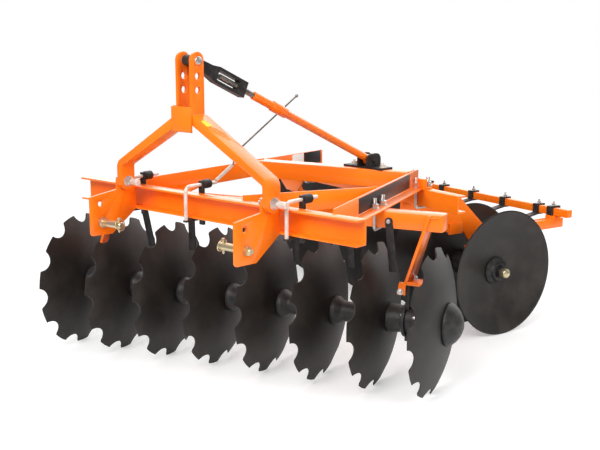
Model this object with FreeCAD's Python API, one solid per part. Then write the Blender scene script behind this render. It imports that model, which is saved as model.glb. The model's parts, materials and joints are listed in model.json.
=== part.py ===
import FreeCAD, Part
import math
import os

os.makedirs("parts", exist_ok=True)
Vec = FreeCAD.Vector

# Offset disc harrow for a three-point hitch, in millimetres.
# X runs to the machine's right seen from behind the tractor, Y to the rear, Z up.
# Plan positions are first given from the left end of the hitch beam;
# PLAN_X and PLAN_Y then bring the origin under the middle of the machine.
PLAN_X = -509.5
PLAN_Y = -971.0

# Running gear
DISC_RADIUS = 280.0
DISC_DEPTH = 65.0
DISC_SHEET = 5.0
DISC_FLAT = 70.0
DISC_SPACING = 228.0
DISC_COUNT = 8
AXLE_HEIGHT = DISC_RADIUS
AXLE_SIDE = 32.0
AXLE_PLAY = 0.2
NOTCH_COUNT = 11
NOTCH_RADIUS = 46.0
NOTCH_CENTRE = DISC_RADIUS + 12.5
FIRST_NOTCH = 22.65
GANG_ANGLE = 15.4
FRONT_GANG_START = (-169.5, 64.1)
REAR_GANG_START = (-350.2, 1753.5)
QUARTER_TURNS = (0, 0, 0, 1, 1, 2, 3, 3)
FRONT_JOURNAL_GAPS = (0, 6)
REAR_JOURNAL_GAPS = (2, 6)

# Spools, journals and bearings
SPOOL_RADIUS = 39.0
SPOOL_FLANGE_RADIUS = 56.0
SPOOL_FLANGE = 16.0
SPOOL_TAPER = 26.0
JOURNAL_RADIUS = 32.0
RUNNING_FIT = 0.06
HOUSING_RADIUS = 54.0
HOUSING_LENGTH = 96.0
HOUSING_RING_RADIUS = 66.0
HOUSING_RING = 12.0
END_BELL_RADIUS = 82.0
END_BELL_LENGTH = 56.0
END_WASHER_RADIUS = 63.0
END_NUT_FLATS = 56.0
AXLE_END_RADIUS = 15.0
AXLE_END = 52.0
AXLE_LONG_END = 82.0

# Main frame
FRAME_RISE = 412.0
MEMBER_BASE = AXLE_HEIGHT + FRAME_RISE
MEMBER_HEIGHT = 73.0
MEMBER_TOP = MEMBER_BASE + MEMBER_HEIGHT
MEMBER_SHEET = 8.0
MEMBER_FOOT = 52.0
HITCH_BEAM_LENGTH = 1421.0
HITCH_BEAM_DROP = 32.0
HITCH_BEAM_HEIGHT = 90.0
HITCH_BEAM_LOW = MEMBER_BASE - HITCH_BEAM_DROP
HITCH_BEAM_TOP = HITCH_BEAM_LOW + HITCH_BEAM_HEIGHT
HITCH_BEAM_REACH = 45.0
HITCH_BEAM_SHEET = 8.0
WELD_GAP = 1.0
MEMBER_START = HITCH_BEAM_SHEET + WELD_GAP
RIGHT_INSET = 144.0
RIGHT_START = HITCH_BEAM_LENGTH - RIGHT_INSET
RIGHT_SLANT = 311.0
RIGHT_END = RIGHT_START - RIGHT_SLANT
RIGHT_MEMBER = ((RIGHT_START, MEMBER_START), (RIGHT_END, 956.0))
LEFT_MEMBER = ((291.0, MEMBER_START), (252.0, 1200.0))
CROSS_BEAM = ((262.0, 695.0), (RIGHT_END + 31.0, 846.0))
CROSS_BEAM_SIDE = 74.0
BRACE = ((RIGHT_START - 405.0, MEMBER_START), (RIGHT_START - 159.0, 470.0))
BRACE_SHEET = 10.0
GUSSET_LONG = 555.0
GUSSET_WIDE = 240.0
GUSSET_BULGE = 60.0

# Gang beams and what hangs from them
GANG_BEAM_SIDE = 65.0
GANG_BEAM_WALL = 5.0
FRONT_BEAM_SPAN = (112.0, 1636.0)
REAR_BEAM_SPAN = (424.0, 1775.0)
REAR_BEAM_SETBACK = -454.0
REAR_BEAM_REACH = 46.0
REAR_BEAM_HEIGHT = 72.0
REAR_BEAM_SHEET = 8.0

# Hitch and mast
HITCH_PLATE_SHEET = 12.0
HITCH_PLATES = (("left", 338.0), ("right", 1088.0))
HITCH_PLATE_FRONT = -262.0
HITCH_PLATE_CHIN = 51.0
HITCH_PIN_PLACE = (-210.0, HITCH_BEAM_LOW - 29.0)
SPARE_HOLE_PLACE = (-216.0, HITCH_BEAM_LOW + 43.0)
HITCH_PIN_RADIUS = 14.0
HITCH_PIN_REACH = 112.0
HITCH_PIN_COLLAR = 10.0
SPARE_HOLE_RADIUS = 12.0
LEG_WIDTH = 66.0
LEG_THICK = 25.0
LEG_OUTER_BEND = 38.0
LEG_MIDDLE = -100.0
LEG_BOLT_HEIGHT = HITCH_BEAM_TOP + 27.0
LEG_BOLT_RADIUS = 11.0
LEG_BEND = LEG_BOLT_HEIGHT + 69.0
LEG_RISE = 194.0
LEG_TOP = LEG_BEND + LEG_RISE
MAST_MIDDLE_X = 719.0
MAST_MIDDLE_Y = -104.0
MAST_SHEET = 12.0
MAST_GAP = 58.0
MAST_WIDTH = 60.0
MAST_HEIGHT = 203.0
TOP_PIN_HEIGHT = LEG_TOP + MAST_HEIGHT
TOP_PIN_RADIUS = 12.5
PIN_PLAY = 0.05
TOP_HOLE_DROPS = (54.0, 103.0)
MAST_PLATE_LOW = LEG_TOP - 45.0
MAST_PLATE_HIGH = LEG_TOP + 43.0

# Stay
STAY_FOOT_SHEET = 8.0
STAY_FOOT = (RIGHT_END - 178.0, 858.0, MEMBER_TOP + STAY_FOOT_SHEET + 27.0)
CHEEK_HALF = 42.0
CHEEK_ROUND = 27.0
YOKE_LENGTH = 279.0
YOKE_BOSS = 57.0
YOKE_HALF = 30.0
YOKE_BAR = 15.0
STAY_TUBE_RADIUS = 16.0
STAY_COLLAR_RADIUS = 20.5
STAY_COLLAR_LENGTH = 78.0
STAY_COLLAR_SETBACK = 161.0
STAY_SCREW_RADIUS = 11.0
STAY_SCREW_SHOWN = 53.0

# Hooked rods over the hitch beam, each held by a strap behind the web and a black knob
HOOKS = (316.0, HITCH_BEAM_LENGTH - 775.0, HITCH_BEAM_LENGTH - 281.0)
HOOK_RADIUS = 8.0
HOOK_TOP = HITCH_BEAM_TOP + 30.0
HOOK_FRONT = -HITCH_BEAM_REACH - 23.0
HOOK_BOTTOM = HITCH_BEAM_LOW - 18.0
HOOK_TAIL = 90.0
CLAMP_HALF = 11.0
CLAMP_BACK = 20.0
CLAMP_KNOB_RADIUS = 17.0
CLAMP_KNOB_BACK = 57.0
CLAMP_TOP = HOOK_TOP + 14.0
CLAMP_LOW = HOOK_BOTTOM - 14.0


def block(x0, x1, y0, y1, z0, z1):
    return Part.makeBox(x1 - x0, y1 - y0, z1 - z0, Vec(x0, y0, z0))


def rod(radius, start, end):
    a = Vec(*start)
    b = Vec(*end)
    return Part.makeCylinder(radius, (b - a).Length, a, b - a)


def slab(points, direction):
    corners = [Vec(*p) for p in points]
    wire = Part.makePolygon(corners + [corners[0]])
    return Part.Face(wire).extrude(Vec(*direction))


def fused(shapes):
    body = shapes[0]
    for other in shapes[1:]:
        body = body.fuse(other)
    return body.removeSplitter()


def placed(shape, origin, angle):
    out = shape.copy()
    out.rotate(Vec(0, 0, 0), Vec(0, 0, 1), angle)
    out.translate(Vec(origin[0], origin[1], 0))
    return out


def on_front_gang(shape):
    return placed(shape, FRONT_GANG_START, GANG_ANGLE)


def on_rear_gang(shape):
    return placed(shape, REAR_GANG_START, -GANG_ANGLE)


def along(line, shape):
    (x0, y0), (x1, y1) = line
    heading = math.degrees(math.atan2(y1 - y0, x1 - x0))
    return placed(shape, (x0, y0), heading)


def line_length(line):
    (x0, y0), (x1, y1) = line
    return math.hypot(x1 - x0, y1 - y0)


def export(name, shape):
    out = shape.copy()
    out.translate(Vec(PLAN_X, PLAN_Y, 0))
    out.exportStep("parts/" + name + ".step")


# Hitch beam: a channel with both flanges turned to the front.
def hitch_beam():
    web = block(0, HITCH_BEAM_LENGTH, 0, HITCH_BEAM_SHEET, HITCH_BEAM_LOW, HITCH_BEAM_TOP)
    low = block(0, HITCH_BEAM_LENGTH, -HITCH_BEAM_REACH, 0,
                HITCH_BEAM_LOW, HITCH_BEAM_LOW + HITCH_BEAM_SHEET)
    high = block(0, HITCH_BEAM_LENGTH, -HITCH_BEAM_REACH, 0,
                 HITCH_BEAM_TOP - HITCH_BEAM_SHEET, HITCH_BEAM_TOP)
    return fused([web, low, high])


# The room behind the web of the hitch beam.
def behind_beam():
    return block(-HITCH_BEAM_LENGTH, 2 * HITCH_BEAM_LENGTH,
                 HITCH_BEAM_SHEET, 2 * HITCH_BEAM_LENGTH, 0, 2 * MEMBER_TOP)


# Side members: angles with the upright leg inside and the foot turned out.
# side is +1 where the foot points right of the direction of travel of the line.
def side_member(line, side):
    length = line_length(line)
    upright = block(0, length, -MEMBER_SHEET, 0, MEMBER_BASE, MEMBER_TOP)
    foot = block(0, length, -MEMBER_FOOT, 0, MEMBER_BASE, MEMBER_BASE + MEMBER_SHEET)
    shape = fused([upright, foot])
    if side < 0:
        shape = shape.mirror(Vec(0, 0, 0), Vec(0, 1, 0))
    return along(line, shape).common(behind_beam())


def cross_beam():
    length = line_length(CROSS_BEAM)
    outer = block(-60, length + 60, 0, CROSS_BEAM_SIDE, MEMBER_BASE, MEMBER_TOP)
    wall = GANG_BEAM_WALL
    inner = block(-61, length + 61, wall, CROSS_BEAM_SIDE - wall,
                  MEMBER_BASE + wall, MEMBER_TOP - wall)
    beam = along(CROSS_BEAM, outer.cut(inner))
    return beam.common(between_members())


# The room between the upright legs of the two side members.
def between_members():
    (lx0, ly0), (lx1, ly1) = LEFT_MEMBER
    (rx0, ry0), (rx1, ry1) = RIGHT_MEMBER
    sheet_l = MEMBER_SHEET
    sheet_r = MEMBER_SHEET / math.cos(math.atan2(rx0 - rx1, ry1 - ry0))
    corners = [
        (lx0, ly0, 0),
        (rx0 - sheet_r, ry0, 0),
        (rx1 - sheet_r, ry1, 0),
        (lx1, ly1, 0),
    ]
    return slab(corners, (0, 0, 2 * MEMBER_TOP))


def brace():
    length = line_length(BRACE)
    bar = block(-60, length + 80, 0, BRACE_SHEET, MEMBER_BASE, MEMBER_TOP)
    bar = along(BRACE, bar).common(between_members())
    return bar.common(behind_beam())


# Plate in the corner of beam and left member, hollowed by an arc.
def corner_gusset():
    x0 = LEFT_MEMBER[0][0]
    y0 = HITCH_BEAM_SHEET
    z0 = MEMBER_BASE
    wide = Vec(x0 + GUSSET_WIDE, y0, z0)
    long = Vec(x0 - 40, y0 + GUSSET_LONG, z0)
    back = Vec(x0 - 40, y0, z0)
    chord = long - wide
    inward = Vec(chord.y, -chord.x, 0).normalize()
    middle = (wide + long) * 0.5 - inward * GUSSET_BULGE
    edges = [
        Part.makeLine(back, wide),
        Part.Arc(wide, middle, long).toShape(),
        Part.makeLine(long, back),
    ]
    plate = Part.Face(Part.Wire(edges)).extrude(Vec(0, 0, MEMBER_SHEET))
    notch = block(HOOKS[0] - CLAMP_HALF - WELD_GAP, HOOKS[0] + CLAMP_HALF + WELD_GAP,
                  0, CLAMP_BACK + WELD_GAP, z0 - MEMBER_SHEET, z0 + 2 * MEMBER_SHEET)
    return plate.common(between_members()).cut(notch)


# Hitch plates, one to each side, welded to the front of the channel.
def hitch_plate(face_x):
    front = HITCH_PLATE_FRONT
    back = -HITCH_BEAM_REACH
    chin = HITCH_PIN_PLACE[1] - HITCH_PLATE_CHIN
    x0 = face_x - HITCH_PLATE_SHEET
    outline = [
        (x0, front, HITCH_BEAM_TOP - 18),
        (x0, back, HITCH_BEAM_TOP + 8),
        (x0, back, HITCH_BEAM_LOW),
        (x0, back - 118, chin),
        (x0, front + 6, chin + 3),
        (x0, front, chin + 10),
    ]
    plate = slab(outline, (HITCH_PLATE_SHEET, 0, 0))
    ear_height = LEG_BOLT_HEIGHT - 8
    ear = rod(LEG_WIDTH / 2, (x0, LEG_MIDDLE, ear_height), (face_x, LEG_MIDDLE, ear_height))
    neck = block(x0, face_x, LEG_MIDDLE - LEG_WIDTH / 2, LEG_MIDDLE + LEG_WIDTH / 2,
                 HITCH_BEAM_LOW + 20, ear_height)
    shape = fused([plate, ear, neck])
    holes = (
        (HITCH_PIN_RADIUS, HITCH_PIN_PLACE),
        (SPARE_HOLE_RADIUS, SPARE_HOLE_PLACE),
        (LEG_BOLT_RADIUS, (LEG_MIDDLE, LEG_BOLT_HEIGHT)),
    )
    for radius, (y, z) in holes:
        shape = shape.cut(rod(radius, (x0 - 1, y, z), (face_x + 1, y, z)))
    return shape


# Lower hitch pins point to the middle of the machine from each plate.
def hitch_pin(face_x, inward):
    y, z = HITCH_PIN_PLACE
    if inward > 0:
        seat = face_x
        back = face_x - HITCH_PLATE_SHEET
    else:
        seat = face_x - HITCH_PLATE_SHEET
        back = face_x
    shank = rod(HITCH_PIN_RADIUS, (back - 24 * inward, y, z), (seat + HITCH_PIN_REACH * inward, y, z))
    collar = rod(HITCH_PIN_RADIUS + 7, (seat, y, z), (seat + HITCH_PIN_COLLAR * inward, y, z))
    nut = hexagon(40, 16, (back - 16 * inward, y, z), inward)
    hole = rod(5, (seat + (HITCH_PIN_REACH - 16) * inward, y, z - 40),
               (seat + (HITCH_PIN_REACH - 16) * inward, y, z + 40))
    return fused([shank, collar, nut]).cut(hole)


# Hexagon prism along X, flats measured across, starting at a point.
def hexagon(flats, length, start, way):
    radius = flats / math.sqrt(3.0)
    points = []
    for i in range(6):
        a = math.radians(60.0 * i)
        points.append((start[0], start[1] + radius * math.cos(a), start[2] + radius * math.sin(a)))
    return slab(points, (length * way, 0, 0))


# A mast leg: a flat bar on edge, bolted low, bent in and up under the mast.
def mast_leg(low_x, top_x):
    half = LEG_THICK / 2
    lean = math.atan2(LEG_TOP - LEG_BEND, abs(top_x - low_x))
    slant = LEG_THICK / math.cos(lean) / 2
    way = 1 if top_x > low_x else -1
    shift = half * math.tan((math.pi / 2 - lean) / 2)
    bottom = LEG_BOLT_HEIGHT
    y0 = LEG_MIDDLE - LEG_WIDTH / 2
    outline = [
        (low_x - half * way, y0, bottom),
        (low_x - half * way, y0, LEG_BEND + shift),
        (top_x - half * way, y0, LEG_TOP + half),
        (top_x + half * way, y0, LEG_TOP + half),
        (top_x + half * way, y0, LEG_TOP - slant),
        (low_x + half * way, y0, LEG_BEND - shift),
        (low_x + half * way, y0, bottom),
    ]
    bar = slab(outline, (0, LEG_WIDTH, 0))
    for radius, x, z in (
        (LEG_OUTER_BEND, low_x - half * way, LEG_BEND + shift),
        (LEG_OUTER_BEND - LEG_THICK, low_x + half * way, LEG_BEND - shift),
    ):
        corner = [e for e in bar.Edges if all(
            abs(v.X - x) < 0.01 and abs(v.Z - z) < 0.01 for v in e.Vertexes)]
        bar = bar.makeFillet(radius, corner)
    round_end = rod(LEG_WIDTH / 2, (low_x - half, LEG_MIDDLE, bottom), (low_x + half, LEG_MIDDLE, bottom))
    hole = rod(LEG_BOLT_RADIUS, (low_x - LEG_THICK, LEG_MIDDLE, bottom),
               (low_x + LEG_THICK, LEG_MIDDLE, bottom))
    return fused([bar, round_end]).cut(hole)


# Mast plates with the top-link pin and two lower pairs of holes.
def mast_plate(x0):
    bottom = LEG_TOP + LEG_THICK / 2
    y0 = MAST_MIDDLE_Y - MAST_WIDTH / 2
    y1 = MAST_MIDDLE_Y + MAST_WIDTH / 2
    plate = block(x0, x0 + MAST_SHEET, y0, y1, bottom, TOP_PIN_HEIGHT)
    cap = rod(MAST_WIDTH / 2, (x0, MAST_MIDDLE_Y, TOP_PIN_HEIGHT),
              (x0 + MAST_SHEET, MAST_MIDDLE_Y, TOP_PIN_HEIGHT))
    shape = fused([plate, cap])
    for drop in (0.0,) + TOP_HOLE_DROPS:
        z = TOP_PIN_HEIGHT - drop
        shape = shape.cut(rod(TOP_PIN_RADIUS, (x0 - 1, MAST_MIDDLE_Y, z),
                              (x0 + MAST_SHEET + 1, MAST_MIDDLE_Y, z)))
    return shape


# A disc: a spherical dish with a flat middle, opening towards -X at its rim plane.
# FIRST_NOTCH is the angle of the first rim notch from +Y towards +Z, in degrees.
def disc(notched):
    outer = (DISC_RADIUS ** 2 + DISC_DEPTH ** 2) / (2 * DISC_DEPTH)
    centre = DISC_DEPTH - outer

    def bulge(sphere, r):
        return centre + math.sqrt(sphere ** 2 - r ** 2)

    inner = outer - DISC_SHEET
    flat_out = bulge(outer, DISC_FLAT)
    flat_in = flat_out - DISC_SHEET
    r_in = math.sqrt(inner ** 2 - (flat_in - centre) ** 2)
    rim_in = DISC_RADIUS - 6
    mid = (DISC_FLAT + DISC_RADIUS) / 2
    a = Vec(0, 0, DISC_RADIUS)
    b = Vec(flat_out, 0, DISC_FLAT)
    c = Vec(flat_out, 0, 0)
    d = Vec(flat_in, 0, 0)
    e = Vec(flat_in, 0, r_in)
    f = Vec(bulge(inner, rim_in), 0, rim_in)
    edges = [
        Part.Arc(a, Vec(bulge(outer, mid), 0, mid), b).toShape(),
        Part.makeLine(b, c),
        Part.makeLine(c, d),
        Part.makeLine(d, e),
        Part.Arc(e, Vec(bulge(inner, mid), 0, mid), f).toShape(),
        Part.makeLine(f, a),
    ]
    dish = Part.Face(Part.Wire(edges)).revolve(Vec(0, 0, 0), Vec(1, 0, 0), 360)
    half = AXLE_SIDE / 2 + AXLE_PLAY
    dish = dish.cut(block(0, 2 * DISC_DEPTH, -half, half, -half, half))
    if notched:
        for i in range(NOTCH_COUNT):
            t = math.radians(FIRST_NOTCH + 360.0 * i / NOTCH_COUNT)
            y = NOTCH_CENTRE * math.cos(t)
            z = NOTCH_CENTRE * math.sin(t)
            notch = Part.makeCylinder(NOTCH_RADIUS, 2 * DISC_DEPTH, Vec(-DISC_DEPTH, y, z), Vec(1, 0, 0))
            dish = dish.cut(notch)
    return dish


# The clamped faces of a dish, measured from its rim plane.
def hub_faces():
    outer = (DISC_RADIUS ** 2 + DISC_DEPTH ** 2) / (2 * DISC_DEPTH)
    flat_out = DISC_DEPTH - outer + math.sqrt(outer ** 2 - DISC_FLAT ** 2)
    return flat_out, flat_out - DISC_SHEET


HUB_OUT, HUB_IN = hub_faces()
SPOOL_LENGTH = DISC_SPACING - DISC_SHEET


# Turned body about the X axis from a table of (x, radius) steps.
def turned(steps):
    points = [Vec(steps[0][0], 0, 0)]
    points += [Vec(x, 0, r) for x, r in steps]
    points += [Vec(steps[-1][0], 0, 0), points[0]]
    return Part.Face(Part.makePolygon(points)).revolve(Vec(0, 0, 0), Vec(1, 0, 0), 360)


def squared(shape):
    half = AXLE_SIDE / 2 + AXLE_PLAY
    return shape.cut(block(-half, SPOOL_LENGTH + half, -half, half, -half, half))


def spool():
    long = SPOOL_LENGTH
    return squared(turned([
        (0, SPOOL_FLANGE_RADIUS),
        (SPOOL_FLANGE, SPOOL_FLANGE_RADIUS),
        (SPOOL_FLANGE + SPOOL_TAPER, SPOOL_RADIUS),
        (long - SPOOL_FLANGE - SPOOL_TAPER, SPOOL_RADIUS),
        (long - SPOOL_FLANGE, SPOOL_FLANGE_RADIUS),
        (long, SPOOL_FLANGE_RADIUS),
    ]))


def journal():
    long = SPOOL_LENGTH
    shoulder = (long - HOUSING_LENGTH) / 2 - 6
    return squared(turned([
        (0, SPOOL_FLANGE_RADIUS),
        (shoulder, SPOOL_FLANGE_RADIUS - 6),
        (shoulder, JOURNAL_RADIUS),
        (long - shoulder, JOURNAL_RADIUS),
        (long - shoulder, SPOOL_FLANGE_RADIUS - 6),
        (long, SPOOL_FLANGE_RADIUS),
    ]))


# Bearing housing around a journal, centred on the gang axis at x = 0.
def housing():
    half = HOUSING_LENGTH / 2
    ring = HOUSING_RING
    body = turned([
        (-half, HOUSING_RING_RADIUS),
        (-half + ring, HOUSING_RING_RADIUS),
        (-half + ring, HOUSING_RADIUS),
        (half - ring, HOUSING_RADIUS),
        (half - ring, HOUSING_RING_RADIUS),
        (half, HOUSING_RING_RADIUS),
    ])
    bore = Part.makeCylinder(JOURNAL_RADIUS + RUNNING_FIT, 4 * half, Vec(-2 * half, 0, 0), Vec(1, 0, 0))
    return body, bore


def raised(shape, x):
    out = shape.copy()
    out.translate(Vec(x, 0, AXLE_HEIGHT))
    return out


def end_bell():
    return turned([
        (0, END_BELL_RADIUS),
        (9, END_BELL_RADIUS),
        (END_BELL_LENGTH * 0.34, END_BELL_RADIUS - 7),
        (END_BELL_LENGTH * 0.58, END_BELL_RADIUS - 19),
        (END_BELL_LENGTH * 0.80, END_BELL_RADIUS - 36),
        (END_BELL_LENGTH * 0.95, END_BELL_RADIUS - 54),
        (END_BELL_LENGTH, AXLE_END_RADIUS + 5),
    ])


def end_washer():
    return turned([
        (0, END_WASHER_RADIUS),
        (9, END_WASHER_RADIUS),
        (22, 44),
        (34, 40),
    ])


# Where each bearing sits along its gang: half way between the hubs of one gap.
FRONT_BEARINGS = (
    ("left", DISC_SPACING * (FRONT_JOURNAL_GAPS[0] + 0.5) + HUB_OUT - DISC_SHEET / 2),
    ("right", DISC_SPACING * (FRONT_JOURNAL_GAPS[1] + 0.5) + HUB_OUT - DISC_SHEET / 2),
)
REAR_BEARINGS = (
    ("left", DISC_SPACING * (REAR_JOURNAL_GAPS[0] + 0.5) - HUB_OUT + DISC_SHEET / 2),
    ("right", DISC_SPACING * (REAR_JOURNAL_GAPS[1] + 0.5) - HUB_OUT + DISC_SHEET / 2),
)


# Boxes and channels that carry the gangs, in gang coordinates.
def front_gang_beam():
    half = GANG_BEAM_SIDE / 2
    s0, s1 = FRONT_BEAM_SPAN
    top = MEMBER_BASE
    wall = GANG_BEAM_WALL
    outer = block(s0, s1, -half, half, top - GANG_BEAM_SIDE, top)
    inner = block(s0 + wall, s1 - wall, -half + wall, half - wall,
                  top - GANG_BEAM_SIDE + wall, top - wall)
    return outer.cut(inner)


def rear_gang_beam():
    s0, s1 = REAR_BEAM_SPAN
    front = REAR_BEAM_SETBACK
    back = front + REAR_BEAM_REACH
    sheet = REAR_BEAM_SHEET
    low = MEMBER_BASE - REAR_BEAM_HEIGHT
    web = block(s0, s1, front, front + sheet, low, MEMBER_BASE)
    foot = block(s0, s1, front, back, low, low + sheet)
    head = block(s0, s1, front, back, MEMBER_BASE - sheet, MEMBER_BASE)
    return fused([web, foot, head])


STANDARD_FOOT_TOP = AXLE_HEIGHT + 152.0
STANDARD_FOOT = 10.0
STANDARD_SHEET = 12.0
STANDARD_WIDTH = 41.0
STANDARD_SHIFT = 15.0
STANDARD_LEAN = 76.0


# Front standard: a leaning bar on the beam's front face with a foot over the bearing.
def front_standard(s):
    half = STANDARD_WIDTH / 2
    middle = s - STANDARD_SHIFT
    face = -GANG_BEAM_SIDE / 2
    low = STANDARD_FOOT_TOP
    high = MEMBER_BASE - 14
    outline = [
        (middle - half, face - STANDARD_SHEET, low),
        (middle + half, face - STANDARD_SHEET, low),
        (middle + half + STANDARD_LEAN, face - STANDARD_SHEET, high),
        (middle - half + STANDARD_LEAN, face - STANDARD_SHEET, high),
    ]
    bar = slab(outline, (0, STANDARD_SHEET, 0))
    foot = block(middle - half, s + 40, face - STANDARD_SHEET, 34, low - STANDARD_FOOT, low)
    rib_outline = [
        (middle, face, low),
        (middle, 30, low),
        (middle, face, low + 70),
    ]
    rib = slab(rib_outline, (8, 0, 0))
    return fused([bar, foot, rib])


def front_bearing(s):
    body, bore = housing()
    low = HOUSING_RADIUS - 8
    high = STANDARD_FOOT_TOP - STANDARD_FOOT - AXLE_HEIGHT
    cheek = block(-37, -25, -34, 34, low, high)
    other = block(25, 37, -34, 34, low, high)
    lug = block(-42, 42, -30, 30, -HOUSING_RADIUS - 22, -HOUSING_RADIUS + 10)
    return raised(fused([body, cheek, other, lug]).cut(bore), s)


REAR_ARM_SHEET = 12.0
REAR_FOOT = 10.0
REAR_FOOT_LOW = AXLE_HEIGHT + 82.0
REAR_CHANNEL_LOW = AXLE_HEIGHT + 124.0
REAR_CHANNEL_TALL = 44.0
REAR_CHANNEL_HIGH = REAR_CHANNEL_LOW + REAR_CHANNEL_TALL
SCRAPER_BAR_LIFT = 16.0
SCRAPER_BAR_LOW = REAR_CHANNEL_HIGH + SCRAPER_BAR_LIFT
REAR_CHANNEL_END = 531.0
REAR_CHANNEL_WIDE = 44.0
SCRAPER_BAR_MIDDLE = 486.0
SCRAPER_BAR_DEPTH = 34.0
SCRAPER_BAR_TALL = 36.0
SCRAPER_BAR_SPAN = (130.0, 1524.0)


# Rear arm outlines as (setback from the gang axis, drop below the channel beam):
# the crest runs back from the beam, the belly runs forward to it again.
ARM_CREST = {
    "left": ((-444.0, 0.0), (-370.0, 20.0), (-344.0, 84.0), (-190.0, 136.0)),
    "right": ((-454.0, 0.0), (-134.0, 0.0)),
}
ARM_BELLY = {
    "left": ((-97.0, 196.0), (-190.0, 188.0), (-344.0, 136.0), (-444.0, 60.0)),
    "right": ((-97.0, 168.0), (-190.0, 164.0), (-408.0, 48.0), (-454.0, 48.0)),
}
# Face plate of the left arm as (distance along the gang from the arm, drop).
ARM_FACE = ((-66.0, 0.0), (172.0, 0.0), (113.0, 68.0), (21.0, 68.0))
ARM_FACE_SHEET = 10.0
# Pad welded to the right arm: setback from and to, drop from and to, sheet.
ARM_PAD = (-184.0, -110.0, 174.0, 124.0, 8.0)


# Rear arm: a cranked plate from the channel beam down over the bearing,
# with a tail channel that carries the scraper bar behind the discs.
def rear_arm(side, s):
    half = REAR_ARM_SHEET / 2
    low = MEMBER_BASE - REAR_BEAM_HEIGHT
    over_bearing = [
        (48.0, REAR_CHANNEL_HIGH),
        (60.0, REAR_CHANNEL_HIGH),
        (60.0, REAR_FOOT_LOW + REAR_FOOT),
        (-26.0, REAR_FOOT_LOW + REAR_FOOT),
    ]
    crest = [(y, low - drop) for y, drop in ARM_CREST[side]]
    belly = [(y, low - drop) for y, drop in ARM_BELLY[side]]
    outline = [(s - half, y, z) for y, z in crest + over_bearing + belly]
    plate = slab(outline, (REAR_ARM_SHEET, 0, 0))
    if side == "left":
        face = [(s + x, REAR_BEAM_SETBACK, low - drop) for x, drop in ARM_FACE]
        extra = slab(face, (0, ARM_FACE_SHEET, 0))
    else:
        y0, y1, deep, high, sheet = ARM_PAD
        extra = block(s, s + half + sheet, y0, y1, low - deep, low - high)
    wide = REAR_CHANNEL_WIDE / 2
    tail = block(s - wide, s + wide, 30, REAR_CHANNEL_END, REAR_CHANNEL_LOW, REAR_CHANNEL_HIGH)
    hollow = block(s - wide - 1, s + wide - 6, 59, REAR_CHANNEL_END + 1,
                   REAR_CHANNEL_LOW + 6, REAR_CHANNEL_HIGH - 6)
    foot = block(s - 46, s + 46, -40, 60, REAR_FOOT_LOW, REAR_FOOT_LOW + REAR_FOOT)
    pad = block(s - wide, s + wide, SCRAPER_BAR_MIDDLE - 30, SCRAPER_BAR_MIDDLE + 30,
                REAR_CHANNEL_HIGH, SCRAPER_BAR_LOW)
    return fused([plate, extra, tail.cut(hollow), foot, pad])


def rear_bearing(s):
    body, bore = housing()
    low = HOUSING_RADIUS - 8
    high = REAR_FOOT_LOW - AXLE_HEIGHT
    cheek = block(-37, -25, -34, 34, low, high)
    other = block(25, 37, -34, 34, low, high)
    lug = block(-42, 42, -30, 30, -HOUSING_RADIUS - 22, -HOUSING_RADIUS + 10)
    return raised(fused([body, cheek, other, lug]).cut(bore), s)


def scraper_bar():
    s0, s1 = SCRAPER_BAR_SPAN
    half = SCRAPER_BAR_DEPTH / 2
    return block(s0, s1, SCRAPER_BAR_MIDDLE - half, SCRAPER_BAR_MIDDLE + half,
                 SCRAPER_BAR_LOW, SCRAPER_BAR_LOW + SCRAPER_BAR_TALL)


# Bridge clamp that holds the scraper bar down on the pad of a rear arm.
def bar_clamp(s):
    half = SCRAPER_BAR_DEPTH / 2
    high = SCRAPER_BAR_LOW + SCRAPER_BAR_TALL
    outer = block(s - 17, s + 17, SCRAPER_BAR_MIDDLE - 30, SCRAPER_BAR_MIDDLE + 30,
                  SCRAPER_BAR_LOW, high + 8)
    return outer.cut(block(s - 20, s + 20, SCRAPER_BAR_MIDDLE - half, SCRAPER_BAR_MIDDLE + half,
                           SCRAPER_BAR_LOW - 1, high))


REAR_SCRAPER_OFFSET = -38.0
BLADE_SHEET = 7.0


# One rear scraper: a clamp plate on the bar, a strap going forward and a blade
# that hangs beside the hollow face of its disc without touching it.
def rear_scraper(rim):
    s = rim + REAR_SCRAPER_OFFSET
    half = SCRAPER_BAR_DEPTH / 2
    low = SCRAPER_BAR_LOW
    high = low + SCRAPER_BAR_TALL
    front = SCRAPER_BAR_MIDDLE - half
    clamp = block(s - 17, s + 17, front - 7, SCRAPER_BAR_MIDDLE + half + 7, low - 8, high + 6)
    clamp = clamp.cut(block(s - 60, s + 60, front, SCRAPER_BAR_MIDDLE + half, low, high))
    tip = rim + 10
    strap = slab([
        (s - 18, front - 4, low - 8),
        (s + 18, front - 4, low - 8),
        (tip + 34, 286, low - 8),
        (tip, 250, low - 8),
        (tip, 286, low - 8),
    ], (0, 0, 8))
    blade = block(tip, tip + BLADE_SHEET, 216, 290, low - 62, low)
    return fused([clamp, strap, blade])


# Front scrapers: gap number, head offset from the rim on its left, sideways lean.
FRONT_SCRAPERS = (
    (1, 126.0, 42.0),
    (2, 129.0, 4.0),
    (3, 127.0, 20.0),
    (4, 127.0, 20.0),
    (5, 127.0, 20.0),
    (6, 63.0, 20.0),
)
FRONT_SCRAPER_HEAD = MEMBER_BASE - 37.0
FRONT_SCRAPER_DROP = 190.0
FRONT_SCRAPER_HALF = 14.0


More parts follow.
